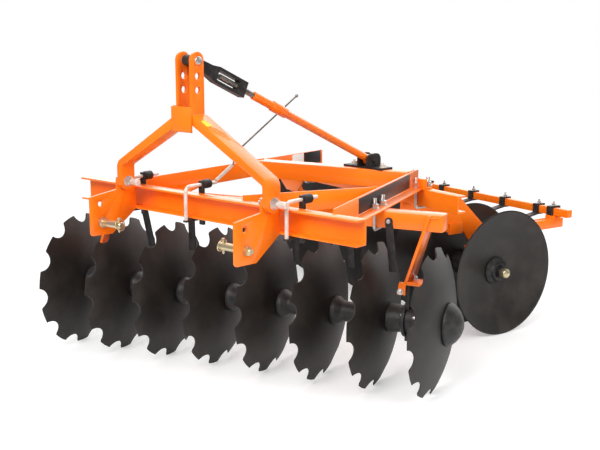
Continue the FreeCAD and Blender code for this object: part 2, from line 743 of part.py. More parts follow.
# One front scraper: a flat bar bolted to the front gang beam, leaning to the next disc.
def front_scraper(gap, offset, lean):
    s = DISC_SPACING * gap + offset
    half = FRONT_SCRAPER_HALF
    face = -GANG_BEAM_SIDE / 2
    high = FRONT_SCRAPER_HEAD
    low = high - FRONT_SCRAPER_DROP
    y0 = face - BLADE_SHEET
    bar = slab([
        (s - half, y0, high),
        (s + half, y0, high),
        (s + half + lean, y0, low),
        (s - half + lean, y0, low),
    ], (0, BLADE_SHEET, 0))
    head = rod(half, (s, y0, high), (s, face, high))
    return fused([bar, head])


# Stay from the top pin to its foot on the cross beam.
def stay_frame(shape):
    a = Vec(MAST_MIDDLE_X, MAST_MIDDLE_Y, TOP_PIN_HEIGHT)
    b = Vec(*STAY_FOOT)
    run = b - a
    heading = math.degrees(math.atan2(run.y, run.x))
    drop = math.degrees(math.atan2(-run.z, math.hypot(run.x, run.y)))
    out = shape.copy()
    out.rotate(Vec(0, 0, 0), Vec(0, 1, 0), drop)
    out.rotate(Vec(0, 0, 0), Vec(0, 0, 1), heading)
    out.translate(a)
    return out


def stay_length():
    a = Vec(MAST_MIDDLE_X, MAST_MIDDLE_Y, TOP_PIN_HEIGHT)
    return (Vec(*STAY_FOOT) - a).Length


# Yoke: an eye on the top pin, a neck, and an open frame around the screw.
def stay_yoke():
    eye = Part.makeCylinder(24, 40, Vec(0, -20, 0), Vec(0, 1, 0))
    neck = slab([(0, -16, -20), (0, -16, 20), (96, -16, 24), (130, -16, YOKE_HALF),
                 (130, -16, -YOKE_HALF), (96, -16, -24)], (0, 32, 0))
    frame = block(120, YOKE_LENGTH, -16, 16, -YOKE_HALF, YOKE_HALF)
    window = block(139, YOKE_LENGTH - YOKE_BOSS, -20, 20, -YOKE_HALF + YOKE_BAR, YOKE_HALF - YOKE_BAR)
    screw = Part.makeCylinder(STAY_SCREW_RADIUS, YOKE_BOSS + 20, Vec(YOKE_LENGTH - YOKE_BOSS - 10, 0, 0),
                              Vec(1, 0, 0))
    x, y, z = MAST_MIDDLE_X, MAST_MIDDLE_Y, TOP_PIN_HEIGHT
    hole = rod(TOP_PIN_RADIUS, (x - 60, y, z), (x + 60, y, z))
    return stay_frame(fused([eye, neck, frame]).cut(window).cut(screw)).cut(hole)


def stay_screw():
    start = 150.0
    return stay_frame(Part.makeCylinder(STAY_SCREW_RADIUS, YOKE_LENGTH + STAY_SCREW_SHOWN - start,
                                        Vec(start, 0, 0), Vec(1, 0, 0)))


def stay_tube():
    start = YOKE_LENGTH + STAY_SCREW_SHOWN
    end = stay_length()
    tube = Part.makeCylinder(STAY_TUBE_RADIUS, end - 20 - start, Vec(start, 0, 0), Vec(1, 0, 0))
    collar = Part.makeCylinder(STAY_COLLAR_RADIUS, STAY_COLLAR_LENGTH,
                               Vec(YOKE_LENGTH + STAY_COLLAR_SETBACK, 0, 0), Vec(1, 0, 0))
    eye = Part.makeCylinder(22, 36, Vec(end, -18, 0), Vec(0, 1, 0))
    hole = Part.makeCylinder(TOP_PIN_RADIUS, 80, Vec(end, -40, 0), Vec(0, 1, 0))
    return stay_frame(fused([tube, collar, eye]).cut(hole))


# Foot on the cross beam: a base plate with two round-topped cheeks and a pin.
def stay_foot():
    x, y, z = STAY_FOOT
    a = Vec(MAST_MIDDLE_X, MAST_MIDDLE_Y, 0)
    run = Vec(x, y, 0) - a
    heading = math.degrees(math.atan2(run.y, run.x)) - 90
    sheet = STAY_FOOT_SHEET
    base = block(-112, 100, -36, 36, MEMBER_TOP, MEMBER_TOP + sheet)
    shapes = [base]
    for side in (-1, 1):
        x0 = 20 if side > 0 else -30
        cheek = block(x0, x0 + 10, -CHEEK_HALF, CHEEK_HALF, MEMBER_TOP + sheet, z)
        crown = block(x0, x0 + 10, -CHEEK_HALF + CHEEK_ROUND, CHEEK_HALF - CHEEK_ROUND, z, z + CHEEK_ROUND)
        shapes += [cheek, crown]
        for y0 in (-CHEEK_HALF + CHEEK_ROUND, CHEEK_HALF - CHEEK_ROUND):
            shapes.append(rod(CHEEK_ROUND, (x0, y0, z), (x0 + 10, y0, z)))
    pin = rod(TOP_PIN_RADIUS - PIN_PLAY, (-42, 0, z), (42, 0, z))
    return placed(fused(shapes + [pin]), (x, y), heading)


def top_pin():
    half = MAST_GAP / 2 + MAST_SHEET
    x0 = MAST_MIDDLE_X - half
    x1 = MAST_MIDDLE_X + half
    y = MAST_MIDDLE_Y
    z = TOP_PIN_HEIGHT
    shank = rod(TOP_PIN_RADIUS - PIN_PLAY, (x0 - 14, y, z), (x1 + 8, y, z))
    head = rod(TOP_PIN_RADIUS + 5, (x1, y, z), (x1 + 8, y, z))
    return fused([shank, head])


def leg_bolt(low_x, plate_x):
    half = LEG_THICK / 2
    x0 = plate_x - HITCH_PLATE_SHEET
    x1 = low_x + half
    y = LEG_MIDDLE
    z = LEG_BOLT_HEIGHT
    shank = rod(LEG_BOLT_RADIUS, (x0 - 16, y, z), (x1 + 14, y, z))
    head = hexagon(34, 14, (x1, y, z), 1)
    nut = hexagon(34, 14, (x0, y, z), -1)
    return fused([shank, head, nut])



def bent_rod(radius, points, bend):
    path = []
    legs = [Vec(*p) for p in points]
    start = legs[0]
    for i in range(1, len(legs) - 1):
        before = (legs[i - 1] - legs[i]).normalize()
        after = (legs[i + 1] - legs[i]).normalize()
        p = legs[i] + before * bend
        q = legs[i] + after * bend
        middle = (p + q) * 0.5
        corner = legs[i]
        reach = bend * (math.sqrt(2.0) - 1.0)
        centre = p + after * bend
        mid = centre + (corner - centre).normalize() * bend
        path.append(Part.makeLine(start, p))
        path.append(Part.Arc(p, mid, q).toShape())
        start = q
    path.append(Part.makeLine(start, legs[-1]))
    wire = Part.Wire(path)
    ring = Part.makeCircle(radius, legs[0], legs[1] - legs[0])
    return wire.makePipeShell([Part.Wire(ring)], True, False)


def beam_hooks():
    shapes = []
    for x in HOOKS:
        shapes.append(bent_rod(HOOK_RADIUS, [
            (x, HITCH_BEAM_SHEET + 22, HOOK_BOTTOM),
            (x, HOOK_FRONT, HOOK_BOTTOM),
            (x, HOOK_FRONT, HOOK_TOP),
            (x, HOOK_TAIL, HOOK_TOP),
        ], 18))
    return Part.makeCompound(shapes)


# A strap behind the web holds both ends of each hook; the knob sits on its upper tail.
def beam_clamps():
    shapes = []
    for x in HOOKS:
        strap = block(x - CLAMP_HALF, x + CLAMP_HALF, HITCH_BEAM_SHEET, CLAMP_BACK,
                      CLAMP_LOW, CLAMP_TOP)
        knob = rod(CLAMP_KNOB_RADIUS, (x, CLAMP_BACK - 2, HOOK_TOP), (x, CLAMP_KNOB_BACK, HOOK_TOP))
        top = rod(HOOK_RADIUS, (x, HOOK_FRONT, HOOK_TOP), (x, HOOK_TAIL, HOOK_TOP))
        low = rod(HOOK_RADIUS, (x, HOOK_FRONT, HOOK_BOTTOM), (x, HITCH_BEAM_SHEET + 22, HOOK_BOTTOM))
        shapes.append(fused([strap, knob]).cut(top).cut(low))
    return Part.makeCompound(shapes)


HOOK_ROD_RUN = (6.0, 460.0, 302.0)
HOOK_ROD_RADIUS = 3.6
HOOK_ROD_SLEEVE = 138.0
HOOK_ROD_SLEEVE_RADIUS = 7.0


# Thin spare rod that stands up and back from the tail of the middle hook.
def hook_rod():
    start = Vec(HOOKS[1], HOOK_TAIL, HOOK_TOP)
    run = Vec(*HOOK_ROD_RUN)
    way = Vec(*HOOK_ROD_RUN).normalize()
    shank = Part.makeCylinder(HOOK_ROD_RADIUS, run.Length, start, way)
    sleeve = Part.makeCylinder(HOOK_ROD_SLEEVE_RADIUS, HOOK_ROD_SLEEVE + 8, start - way * 8, way)
    knob = Part.makeSphere(7, start + run)
    tail = block(start.x - 40, start.x + 40, start.y - 40, start.y, start.z - 40, start.z + 40)
    return fused([shank, sleeve, knob]).cut(tail)


pieces = {}
pieces["hitch_beam"] = hitch_beam()
pieces["left_member"] = side_member(LEFT_MEMBER, -1)
pieces["right_member"] = side_member(RIGHT_MEMBER, 1)
pieces["cross_beam"] = cross_beam()
pieces["diagonal_brace"] = brace()
pieces["corner_gusset"] = corner_gusset()

leg_x = {}
leg_bolts = []
for side, face in HITCH_PLATES:
    inward = 1 if side == "left" else -1
    leg_x[side] = face + LEG_THICK / 2
    pieces[side + "_hitch_plate"] = hitch_plate(face)
    pieces[side + "_hitch_pin"] = hitch_pin(face, inward)
    leg_bolts.append(leg_bolt(leg_x[side], face))

pieces["leg_bolts"] = Part.makeCompound(leg_bolts)
inner = MAST_GAP / 2
pieces["left_mast_plate"] = mast_plate(MAST_MIDDLE_X - inner - MAST_SHEET)
pieces["right_mast_plate"] = mast_plate(MAST_MIDDLE_X + inner)
pieces["left_mast_leg"] = mast_leg(leg_x["left"], MAST_MIDDLE_X - inner - MAST_SHEET / 2)
pieces["right_mast_leg"] = mast_leg(leg_x["right"], MAST_MIDDLE_X + inner + MAST_SHEET / 2)
pieces["mast_front_plate"] = block(MAST_MIDDLE_X - 58, MAST_MIDDLE_X + 41,
                                   MAST_MIDDLE_Y - MAST_WIDTH / 2 - 10, MAST_MIDDLE_Y - MAST_WIDTH / 2,
                                   MAST_PLATE_LOW, MAST_PLATE_HIGH)
pieces["top_pin"] = top_pin()
pieces["stay_yoke"] = stay_yoke()
pieces["stay_screw"] = stay_screw()
pieces["stay_tube"] = stay_tube()
pieces["stay_foot"] = stay_foot()
pieces["hook_rod"] = hook_rod()
pieces["beam_hooks"] = beam_hooks()
pieces["beam_clamps"] = beam_clamps()

pieces["front_gang_beam"] = on_front_gang(front_gang_beam())
pieces["rear_gang_beam"] = on_rear_gang(rear_gang_beam())
for side, s in FRONT_BEARINGS:
    pieces["front_standard_" + side] = on_front_gang(front_standard(s))
    pieces["front_bearing_" + side] = on_front_gang(front_bearing(s))
for side, s in REAR_BEARINGS:
    pieces["rear_arm_" + side] = on_rear_gang(rear_arm(side, s))
    pieces["rear_bearing_" + side] = on_rear_gang(rear_bearing(s))
pieces["scraper_bar"] = on_rear_gang(scraper_bar())
pieces["bar_clamps"] = on_rear_gang(Part.makeCompound([bar_clamp(s) for side, s in REAR_BEARINGS]))
rims = [DISC_SPACING * i for i in range(DISC_COUNT)]
pieces["rear_scrapers"] = on_rear_gang(Part.makeCompound([rear_scraper(r) for r in rims[1:-1]]))
pieces["front_scrapers"] = on_front_gang(Part.makeCompound([front_scraper(*row) for row in FRONT_SCRAPERS]))

notched = disc(True)
plain = disc(False).mirror(Vec(0, 0, 0), Vec(1, 0, 0))
front_spools = []
rear_spools = []
for i, rim in enumerate(rims):
    turned_disc = notched.copy()
    turned_disc.rotate(Vec(0, 0, 0), Vec(1, 0, 0), 90.0 * QUARTER_TURNS[i])
    pieces["front_disc_%d" % (i + 1)] = on_front_gang(raised(turned_disc, rim))
    pieces["rear_disc_%d" % (i + 1)] = on_rear_gang(raised(plain, rim))
    if i < DISC_COUNT - 1:
        front_part = journal() if i in FRONT_JOURNAL_GAPS else spool()
        rear_part = journal() if i in REAR_JOURNAL_GAPS else spool()
        front_spools.append(raised(front_part, rim + HUB_OUT))
        rear_spools.append(raised(rear_part, rim - HUB_IN))
pieces["front_spools"] = on_front_gang(Part.makeCompound(front_spools))
pieces["rear_spools"] = on_rear_gang(Part.makeCompound(rear_spools))


# Square axle with a turned tip at each end.
def axle(start, end, right_tip):
    half = AXLE_SIDE / 2
    bar = block(start, end, -half, half, -half, half)
    tip_a = rod(AXLE_END_RADIUS, (start - AXLE_END, 0, 0), (start, 0, 0))
    tip_b = rod(AXLE_END_RADIUS, (end, 0, 0), (end + right_tip, 0, 0))
    return fused([bar, tip_a, tip_b])


last = rims[-1]
bell_hole = rod(AXLE_END_RADIUS, (-END_BELL_LENGTH, 0, 0), (2 * END_BELL_LENGTH, 0, 0))
bell = end_bell().cut(bell_hole)
washer = end_washer().cut(bell_hole)
end_nut = hexagon(END_NUT_FLATS, 24, (34, 0, 0), 1)
washer_set = fused([washer, end_nut.cut(bell_hole)])
left_washer = washer_set.mirror(Vec(0, 0, 0), Vec(1, 0, 0))
left_bell = bell.mirror(Vec(0, 0, 0), Vec(1, 0, 0))
pieces["front_axle"] = on_front_gang(raised(axle(HUB_IN, last + HUB_OUT, AXLE_END), 0))
pieces["front_end_caps"] = on_front_gang(Part.makeCompound([
    raised(bell, last + HUB_OUT), raised(left_washer, HUB_IN)]))
rear_nut = end_nut.copy()
rear_nut.translate(Vec(last - HUB_IN, 0, 0))
rear_axle = fused([axle(-HUB_OUT, last - HUB_IN, AXLE_LONG_END), rear_nut])
pieces["rear_axle"] = on_rear_gang(raised(rear_axle, 0))
pieces["rear_end_caps"] = on_rear_gang(Part.makeCompound([
    raised(washer, last - HUB_IN), raised(left_bell, -HUB_OUT)]))

for name, shape in pieces.items():
    export(name, shape)
box = Part.makeCompound(list(pieces.values())).BoundBox
print("nodes", len(pieces))
print("box %.1f %.1f %.1f %.1f %.1f %.1f" % (
    box.XMin + PLAN_X, box.XMax + PLAN_X, box.YMin + PLAN_Y, box.YMax + PLAN_Y, box.ZMin, box.ZMax))
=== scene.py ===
# %% [markdown]
# An offset disc harrow hangs on a tractor's three-point hitch and rolls on two
# gangs of steel dishes. The solids of the frame, the gangs and the bearings are
# already built to size, so this lesson only dresses them: it softens their
# sheared edges, paints them, and adds the bolts, weld beads, threads and pins
# that a maker leaves out of the solids. First come the solids themselves.

# %% The solids and their box
import bpy
import bmesh
import json
import math
from mathutils import Vector, Matrix

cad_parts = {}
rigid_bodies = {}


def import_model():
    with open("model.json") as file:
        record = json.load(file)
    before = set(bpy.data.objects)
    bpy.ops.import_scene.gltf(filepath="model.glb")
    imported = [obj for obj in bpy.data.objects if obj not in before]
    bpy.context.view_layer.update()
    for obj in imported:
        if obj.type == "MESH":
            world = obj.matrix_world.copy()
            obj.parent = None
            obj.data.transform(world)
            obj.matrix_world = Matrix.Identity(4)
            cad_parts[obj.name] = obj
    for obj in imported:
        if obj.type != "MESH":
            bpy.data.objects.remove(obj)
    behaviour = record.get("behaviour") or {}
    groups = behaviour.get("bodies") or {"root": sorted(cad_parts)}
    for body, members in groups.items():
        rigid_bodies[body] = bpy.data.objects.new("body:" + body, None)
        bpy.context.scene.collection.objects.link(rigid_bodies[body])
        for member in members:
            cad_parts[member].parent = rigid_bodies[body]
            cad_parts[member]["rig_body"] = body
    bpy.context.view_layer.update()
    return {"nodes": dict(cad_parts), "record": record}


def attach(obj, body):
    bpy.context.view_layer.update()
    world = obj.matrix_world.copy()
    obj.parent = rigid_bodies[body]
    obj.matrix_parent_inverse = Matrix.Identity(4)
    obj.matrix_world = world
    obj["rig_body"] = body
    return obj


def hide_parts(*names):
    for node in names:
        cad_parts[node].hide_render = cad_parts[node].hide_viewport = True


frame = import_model()
scene = bpy.context.scene

# %% [markdown]
# The camera stands in front of the machine's right corner, a little above the
# mast's foot, and looks slightly down. A lens of 62 mm from four and a half
# metres keeps the near gang large and lets the far scraper bar run away to the
# right, as a person with a camera would see it in a showroom.

# %% Camera
CAMERA_PLACE = Vector((2.9085, -3.618, 1.396))
CAMERA_HEADING = Vector((-0.652, 0.758, 0.0)).normalized()
CAMERA_PITCH = math.radians(-11.38)

view_line = CAMERA_HEADING * math.cos(CAMERA_PITCH) + Vector((0, 0, math.sin(CAMERA_PITCH)))
camera_data = bpy.data.cameras.new("camera")
camera_data.lens = 62.4
camera_data.sensor_width = 36.0
camera = bpy.data.objects.new("camera", camera_data)
camera.location = CAMERA_PLACE
camera.rotation_euler = view_line.to_track_quat("-Z", "Y").to_euler()
scene.collection.objects.link(camera)
scene.camera = camera
scene.view_settings.view_transform = "Standard"
print("camera looks along", [round(v, 3) for v in view_line])

# %% [markdown]
# Materials are written as sums. A small class holds one socket of a node tree
# and turns +, - and * into Math nodes, so that a line such as
# base + 0.1 * dust reads like the arithmetic it is. Colours are mixed by their
# own node, because a Math node would turn them grey.

# %% Shader arithmetic
class Wire:
    """One output socket of a node tree, ready for arithmetic."""

    def __init__(self, tree, socket):
        self.tree = tree
        self.socket = socket

    def math(self, operation, other, flip=False):
        pair = (other, self) if flip else (self, other)
        return add_node(self.tree, "ShaderNodeMath", {"operation": operation}, {0: pair[0], 1: pair[1]})

    def __add__(self, other):
        return self.math("ADD", other)

    def __radd__(self, other):
        return self.math("ADD", other, flip=True)

    def __sub__(self, other):
        return self.math("SUBTRACT", other)

    def __mul__(self, other):
        return self.math("MULTIPLY", other)

    def __rmul__(self, other):
        return self.math("MULTIPLY", other, flip=True)


def put(tree, socket, value):
    if isinstance(value, Wire):
        tree.links.new(value.socket, socket)
    elif isinstance(value, (tuple, list)) and len(value) == 3 and len(socket.default_value) == 4:
        socket.default_value = (*value, 1.0)
    else:
        socket.default_value = value


def add_node(tree, kind, settings=None, inputs=None, output=0):
    node = tree.nodes.new(kind)
    for name, value in (settings or {}).items():
        setattr(node, name, value)
    for name, value in (inputs or {}).items():
        put(tree, node.inputs[name], value)
    return Wire(tree, node.outputs[output])


class Finish:
    """A material with its Principled shader and the few patterns that paints share."""

    def __init__(self, name, **base):
        self.material = bpy.data.materials.new(name)
        self.material.use_nodes = True
        self.tree = self.material.node_tree
        self.shader = self.tree.nodes["Principled BSDF"]
        self.material.diffuse_color = (*base.get("Base Color", (0.5, 0.5, 0.5)), 1.0)
        for socket, value in base.items():
            self.set(socket, value)
        self.place = self.node("ShaderNodeTexCoord", output="Object")

    def node(self, kind, settings=None, inputs=None, output=0):
        return add_node(self.tree, kind, settings, inputs, output)

    def set(self, socket, value):
        put(self.tree, self.shader.inputs[socket], value)

    def noise(self, scale, detail=3.0, roughness=0.5):
        return self.node("ShaderNodeTexNoise", None,
                         {"Vector": self.place, "Scale": scale, "Detail": detail, "Roughness": roughness})

    def between(self, wire, low, high, out_low=0.0, out_high=1.0):
        return self.node("ShaderNodeMapRange", {"clamp": True}, {
            "Value": wire, "From Min": low, "From Max": high, "To Min": out_low, "To Max": out_high})

    def blend(self, amount, first, second):
        node = self.tree.nodes.new("ShaderNodeMix")
        node.data_type = "RGBA"
        put(self.tree, node.inputs[0], amount)
        put(self.tree, node.inputs[6], first)
        put(self.tree, node.inputs[7], second)
        return Wire(self.tree, node.outputs[2])

    def bump(self, height, strength, distance):
        normal = self.node("ShaderNodeBump", None,
                           {"Height": height, "Strength": strength, "Distance": distance})
        self.set("Normal", normal)


# %% [markdown]
# The floor is a pale studio sweep. Near the machine it is a matt white that
# keeps the soft shadow of the discs; far away it fades to pure white, so that
# no horizon shows. The world is a white dome. Paint mirrors only a small share
# of the dome and the floor, except of the part of the dome high behind the
# machine, which is brighter and gives the steel its sheen. Three wide lamps
# model the sheet metal: one high in front, one at the right side and one high
# behind. The last two light the paint but aren't mirrored in it.

# %% Floor, world and lamps
MIRROR_SHARE = 0.18
MIRROR_PEAK = 2.5
DOME_LIGHT = 0.74
FLOOR_REACH = 30.0
FLOOR_LEVEL = -0.002
BRIGHT_SIDE = Vector((-0.5, 0.8, 0.33)).normalized()


def pale_floor():
    floor = Finish("studio_floor", **{"Base Color": (0.8, 0.8, 0.8), "Roughness": 1.0})
    tree = floor.tree
    rays = tree.nodes.new("ShaderNodeLightPath")
    seen = (Wire(tree, rays.outputs["Is Camera Ray"])
            .math("MAXIMUM", MIRROR_SHARE * Wire(tree, rays.outputs["Is Glossy Ray"]))
            .math("MAXIMUM", Wire(tree, rays.outputs["Is Transmission Ray"])))
    reach = floor.node("ShaderNodeVectorMath", {"operation": "LENGTH"},
                       {0: floor.node("ShaderNodeNewGeometry")}, output="Value")
    far = floor.between(reach, 1.9, 4.2)
    near_light = floor.node("ShaderNodeEmission", None, {"Color": (1.0, 1.0, 1.0), "Strength": 0.30 * seen})
    matt = floor.node("ShaderNodeBsdfDiffuse", None, {"Color": (0.8, 0.8, 0.8)})
    near = floor.node("ShaderNodeAddShader", None, {0: matt, 1: near_light})
    white = floor.node("ShaderNodeEmission", None, {"Color": (1.0, 1.0, 1.0), "Strength": seen})
    mixed = floor.node("ShaderNodeMixShader", None, {0: far, 1: near, 2: white})
    tree.links.new(mixed.socket, tree.nodes["Material Output"].inputs["Surface"])
    return floor.material


floor_mesh = bpy.data.meshes.new("floor")
floor_mesh.from_pydata([(x * FLOOR_REACH, y * FLOOR_REACH, FLOOR_LEVEL)
                        for x, y in ((-1, -1), (1, -1), (1, 1), (-1, 1))], [], [(0, 1, 2, 3)])
floor_sheet = bpy.data.objects.new("floor", floor_mesh)
floor_mesh.materials.append(pale_floor())
scene.collection.objects.link(floor_sheet)

world = bpy.data.worlds.new("white_dome")
world.use_nodes = True
dome = world.node_tree
dome_rays = dome.nodes.new("ShaderNodeLightPath")
heading = add_node(dome, "ShaderNodeTexCoord", output="Generated")
backward = add_node(dome, "ShaderNodeVectorMath", {"operation": "DOT_PRODUCT"},
                    {0: heading, 1: BRIGHT_SIDE}, output="Value")
mirrored = add_node(dome, "ShaderNodeMapRange", {"clamp": True}, {
    "Value": backward, "From Min": 0.35, "From Max": 0.9, "To Min": MIRROR_SHARE, "To Max": MIRROR_PEAK})
glossy = Wire(dome, dome_rays.outputs["Is Glossy Ray"])
camera_ray = Wire(dome, dome_rays.outputs["Is Camera Ray"])
background = dome.nodes["Background"]
put(dome, background.inputs["Color"], (1.0, 1.0, 1.0))
put(dome, background.inputs["Strength"],
    DOME_LIGHT + (1.0 - DOME_LIGHT) * camera_ray + glossy * (mirrored - DOME_LIGHT))
scene.world = world


def soft_lamp(name, place, aim, size, watts):
    data = bpy.data.lights.new(name, "AREA")
    data.shape = "RECTANGLE"
    data.size, data.size_y = size
    data.energy = watts
    lamp = bpy.data.objects.new(name, data)
    lamp.location = place
    lamp.rotation_euler = (Vector(aim) - Vector(place)).to_track_quat("-Z", "Y").to_euler()
    scene.collection.objects.link(lamp)
    return lamp


soft_lamp("key_lamp", (1.6, -5.0, 4.0), (0.0, 0.0, 0.6), (3.2, 2.2), 255.0)
soft_lamp("side_lamp", (5.2, 0.0, 2.6), (0.0, 0.0, 0.5), (2.6, 2.2), 95.0).visible_glossy = False
soft_lamp("back_lamp", (-2.4, 4.4, 4.6), (0.0, 0.0, 0.7), (5.0, 1.7), 110.0).visible_glossy = False

# %% [markdown]
# The sheet steel is sprayed with glossy orange enamel. Sprayed enamel is never
# quite flat: it has a fine orange-peel skin, a slow drift in tone where the
# coat is thicker, and a little dust on its flats. The colour stays close to
# one value and the clear coat gives the white streaks along the top flanges.

# %% Orange enamel
def orange_enamel():
    paint = Finish("orange_enamel", **{"Base Color": (0.98, 0.20, 0.008), "Roughness": 0.32,
                                       "Specular IOR Level": 0.3, "Coat Weight": 0.45,
                                       "Coat Roughness": 0.12})
    drift = paint.noise(3.2, 2.0)
    dust = paint.noise(46.0, 5.0, 0.7)
    lit = paint.blend(paint.between(drift, 0.35, 0.65), (0.98, 0.165, 0.004), (1.0, 0.215, 0.007))
    dusty = paint.between(dust, 0.62, 0.82, 0.0, 0.10)
    paint.set("Base Color", paint.blend(dusty, lit, (0.98, 0.30, 0.06)))
    paint.set("Roughness", 0.27 + 0.12 * drift + 0.20 * dusty)
    peel = paint.noise(420.0, 2.0)
    wave = paint.noise(60.0, 2.0)
    paint.bump(peel + 1.5 * wave, 0.30, 0.0006)
    return paint.material


ORANGE = orange_enamel()

# %% [markdown]
# The dishes are stamped from spring steel and dipped in dark varnish. They
# look nearly black, yet catch a warm brown sheen in broad bands. A slow noise
# clouds the varnish from near black to brown, a painted sheen in broad patches,
# and a fine one is its grit. Both go into the roughness and the bump.

# %% Varnished disc steel
def disc_varnish():
    steel = Finish("disc_varnish", **{"Base Color": (0.024, 0.020, 0.018), "Roughness": 0.42,
                                      "Metallic": 0.2})
    cloud = steel.noise(7.0, 4.0, 0.6)
    grit = steel.noise(150.0, 4.0, 0.7)
    # Painted sheen: where the slow cloud is high, the varnish turns brown, standing in for the warm brown sheen in
    # broad bands.
    dusty = steel.between(cloud, 0.42, 0.75)
    steel.set("Base Color", steel.blend(dusty, (0.021, 0.0175, 0.0155), (0.049, 0.041, 0.036)))
    steel.set("Roughness", 0.34 + 0.16 * cloud + 0.10 * grit)
    steel.bump(grit + 2.0 * cloud, 0.25, 0.0006)
    return steel.material


DISC = disc_varnish()

# %% [markdown]
# Spools, bearing housings and clamps are castings under black paint. Sand
# casting leaves a coarse, rounded grain, which two noises of different size
# make in the bump, and the paint on it is satin, not glossy.

# %% Black castings
def black_casting():
    cast = Finish("black_casting", **{"Base Color": (0.016, 0.015, 0.015), "Roughness": 0.5})
    grain = cast.noise(190.0, 3.0, 0.6)
    lump = cast.noise(40.0, 2.0)
    cast.set("Base Color", cast.blend(cast.between(lump, 0.4, 0.7), (0.012, 0.011, 0.011),
                                      (0.032, 0.029, 0.027)))
    cast.set("Roughness", 0.36 + 0.28 * grain)
    cast.bump(grain + 1.4 * lump, 0.5, 0.0012)
    return cast.material


BLACK = black_casting()

# %% [markdown]
# Pins, bolts and hooks are zinc plated. Bright zinc is a pale metal with a fine
# grain; the pins of the hitch and the axles are passivated afterwards, which
# turns them straw yellow. The stay's screw is darker steel, and the hooks and
# the spare rod's sleeve are pale and less metallic. All share one recipe and
# differ in the two colours that a slow noise mixes, and in how rough they are.

# %% Plated steel
def plated(name, first, second, rough, metal=0.85):
    zinc = Finish(name, **{"Base Color": first, "Roughness": rough, "Metallic": metal})
    stain = zinc.noise(38.0, 3.0, 0.6)
    grain = zinc.noise(700.0, 2.0)
    zinc.set("Base Color", zinc.blend(zinc.between(stain, 0.38, 0.66), first, second))
    zinc.set("Roughness", rough + 0.18 * grain)
    zinc.bump(grain, 0.15, 0.0003)
    return zinc.material


ZINC = plated("bright_zinc", (0.78, 0.76, 0.73), (0.60, 0.58, 0.55), 0.26)
YELLOW_ZINC = plated("yellow_zinc", (0.74, 0.62, 0.36), (0.62, 0.55, 0.40), 0.24)
SCREW_STEEL = plated("screw_steel", (0.40, 0.36, 0.32), (0.26, 0.23, 0.20), 0.34)
HOOK_PLATE = plated("hook_plate", (0.86, 0.81, 0.74), (0.74, 0.66, 0.58), 0.34, 0.45)
CREAM = plated("cream_zinc", (0.82, 0.77, 0.68), (0.66, 0.60, 0.52), 0.38, 0.5)

# %% [markdown]
# A vinyl label is a thin film with a smooth, slightly waxy face. The machine
# carries a long black one on the right member, a white and a black one on the
# left member and a small yellow one on the mast's right leg. All are blank.

# %% Label vinyl
def vinyl(name, colour, rough=0.3):
    film = Finish(name, **{"Base Color": colour, "Roughness": rough})
    scuff = film.noise(90.0, 4.0, 0.6)
    film.set("Roughness", rough + 0.2 * scuff)
    film.bump(film.noise(25.0), 0.1, 0.0005)
    return film.material


BLACK_VINYL = vinyl("black_vinyl", (0.014, 0.013, 0.014))
WHITE_VINYL = vinyl("white_vinyl", (0.80, 0.78, 0.74))
YELLOW_VINYL = vinyl("yellow_vinyl", (0.95, 0.62, 0.03))
print("finishes:", [m.name for m in bpy.data.materials])

# %% [markdown]
# Everything is placed by the harrow's own plan, in millimetres: x from the left
# end of the hitch beam, y to the rear, z up. Each gang has a plan of its own,
# turned by the gang angle, and the stay has one that runs down its length. A
# matrix takes each plan to metres in the place where the solids stand.

# %% Plans
PLAN_CORNER = Vector((-509.5, -971.0, 0.0))
GANG_ANGLE = 15.4
AXLE_HEIGHT = 280.0
DISC_SPACING = 228.0
MEMBER_BASE = 692.0
TOP_PIN = Vector((719.0, -104.0, 1243.0))
STAY_FOOT = Vector((788.0, 858.0, 800.0))


def plan(origin, heading=0.0, drop=0.0):
    return (Matrix.Scale(0.001, 4) @ Matrix.Translation(PLAN_CORNER + Vector(origin))
            @ Matrix.Rotation(math.radians(heading), 4, "Z")
            @ Matrix.Rotation(math.radians(drop), 4, "Y"))


HARROW = plan((0, 0, 0))
FRONT_GANG = plan((-169.5, 64.1, 0), GANG_ANGLE)
REAR_GANG = plan((-350.2, 1753.5, 0), -GANG_ANGLE)
stay_run = STAY_FOOT - TOP_PIN
STAY = plan(TOP_PIN, math.degrees(math.atan2(stay_run.y, stay_run.x)),
            math.degrees(math.atan2(-stay_run.z, math.hypot(stay_run.x, stay_run.y))))
RIGHT_MEMBER = plan((1277.0, 9.0, 0), math.degrees(math.atan2(947.0, -311.0)))
LEFT_MEMBER = plan((291.0, 9.0, 0), math.degrees(math.atan2(1191.0, -39.0)))
print("stay length mm:", round(stay_run.length, 1))

# %% [markdown]
# Small hardware comes from one forge. It joins rings of points into a closed
# skin, so that a turned body, a hexagon, a thread, a bent rod and a weld bead
# are all the same idea: a row of rings. A thread is a ring whose radius rises
# and falls with the angle as well as with the distance.

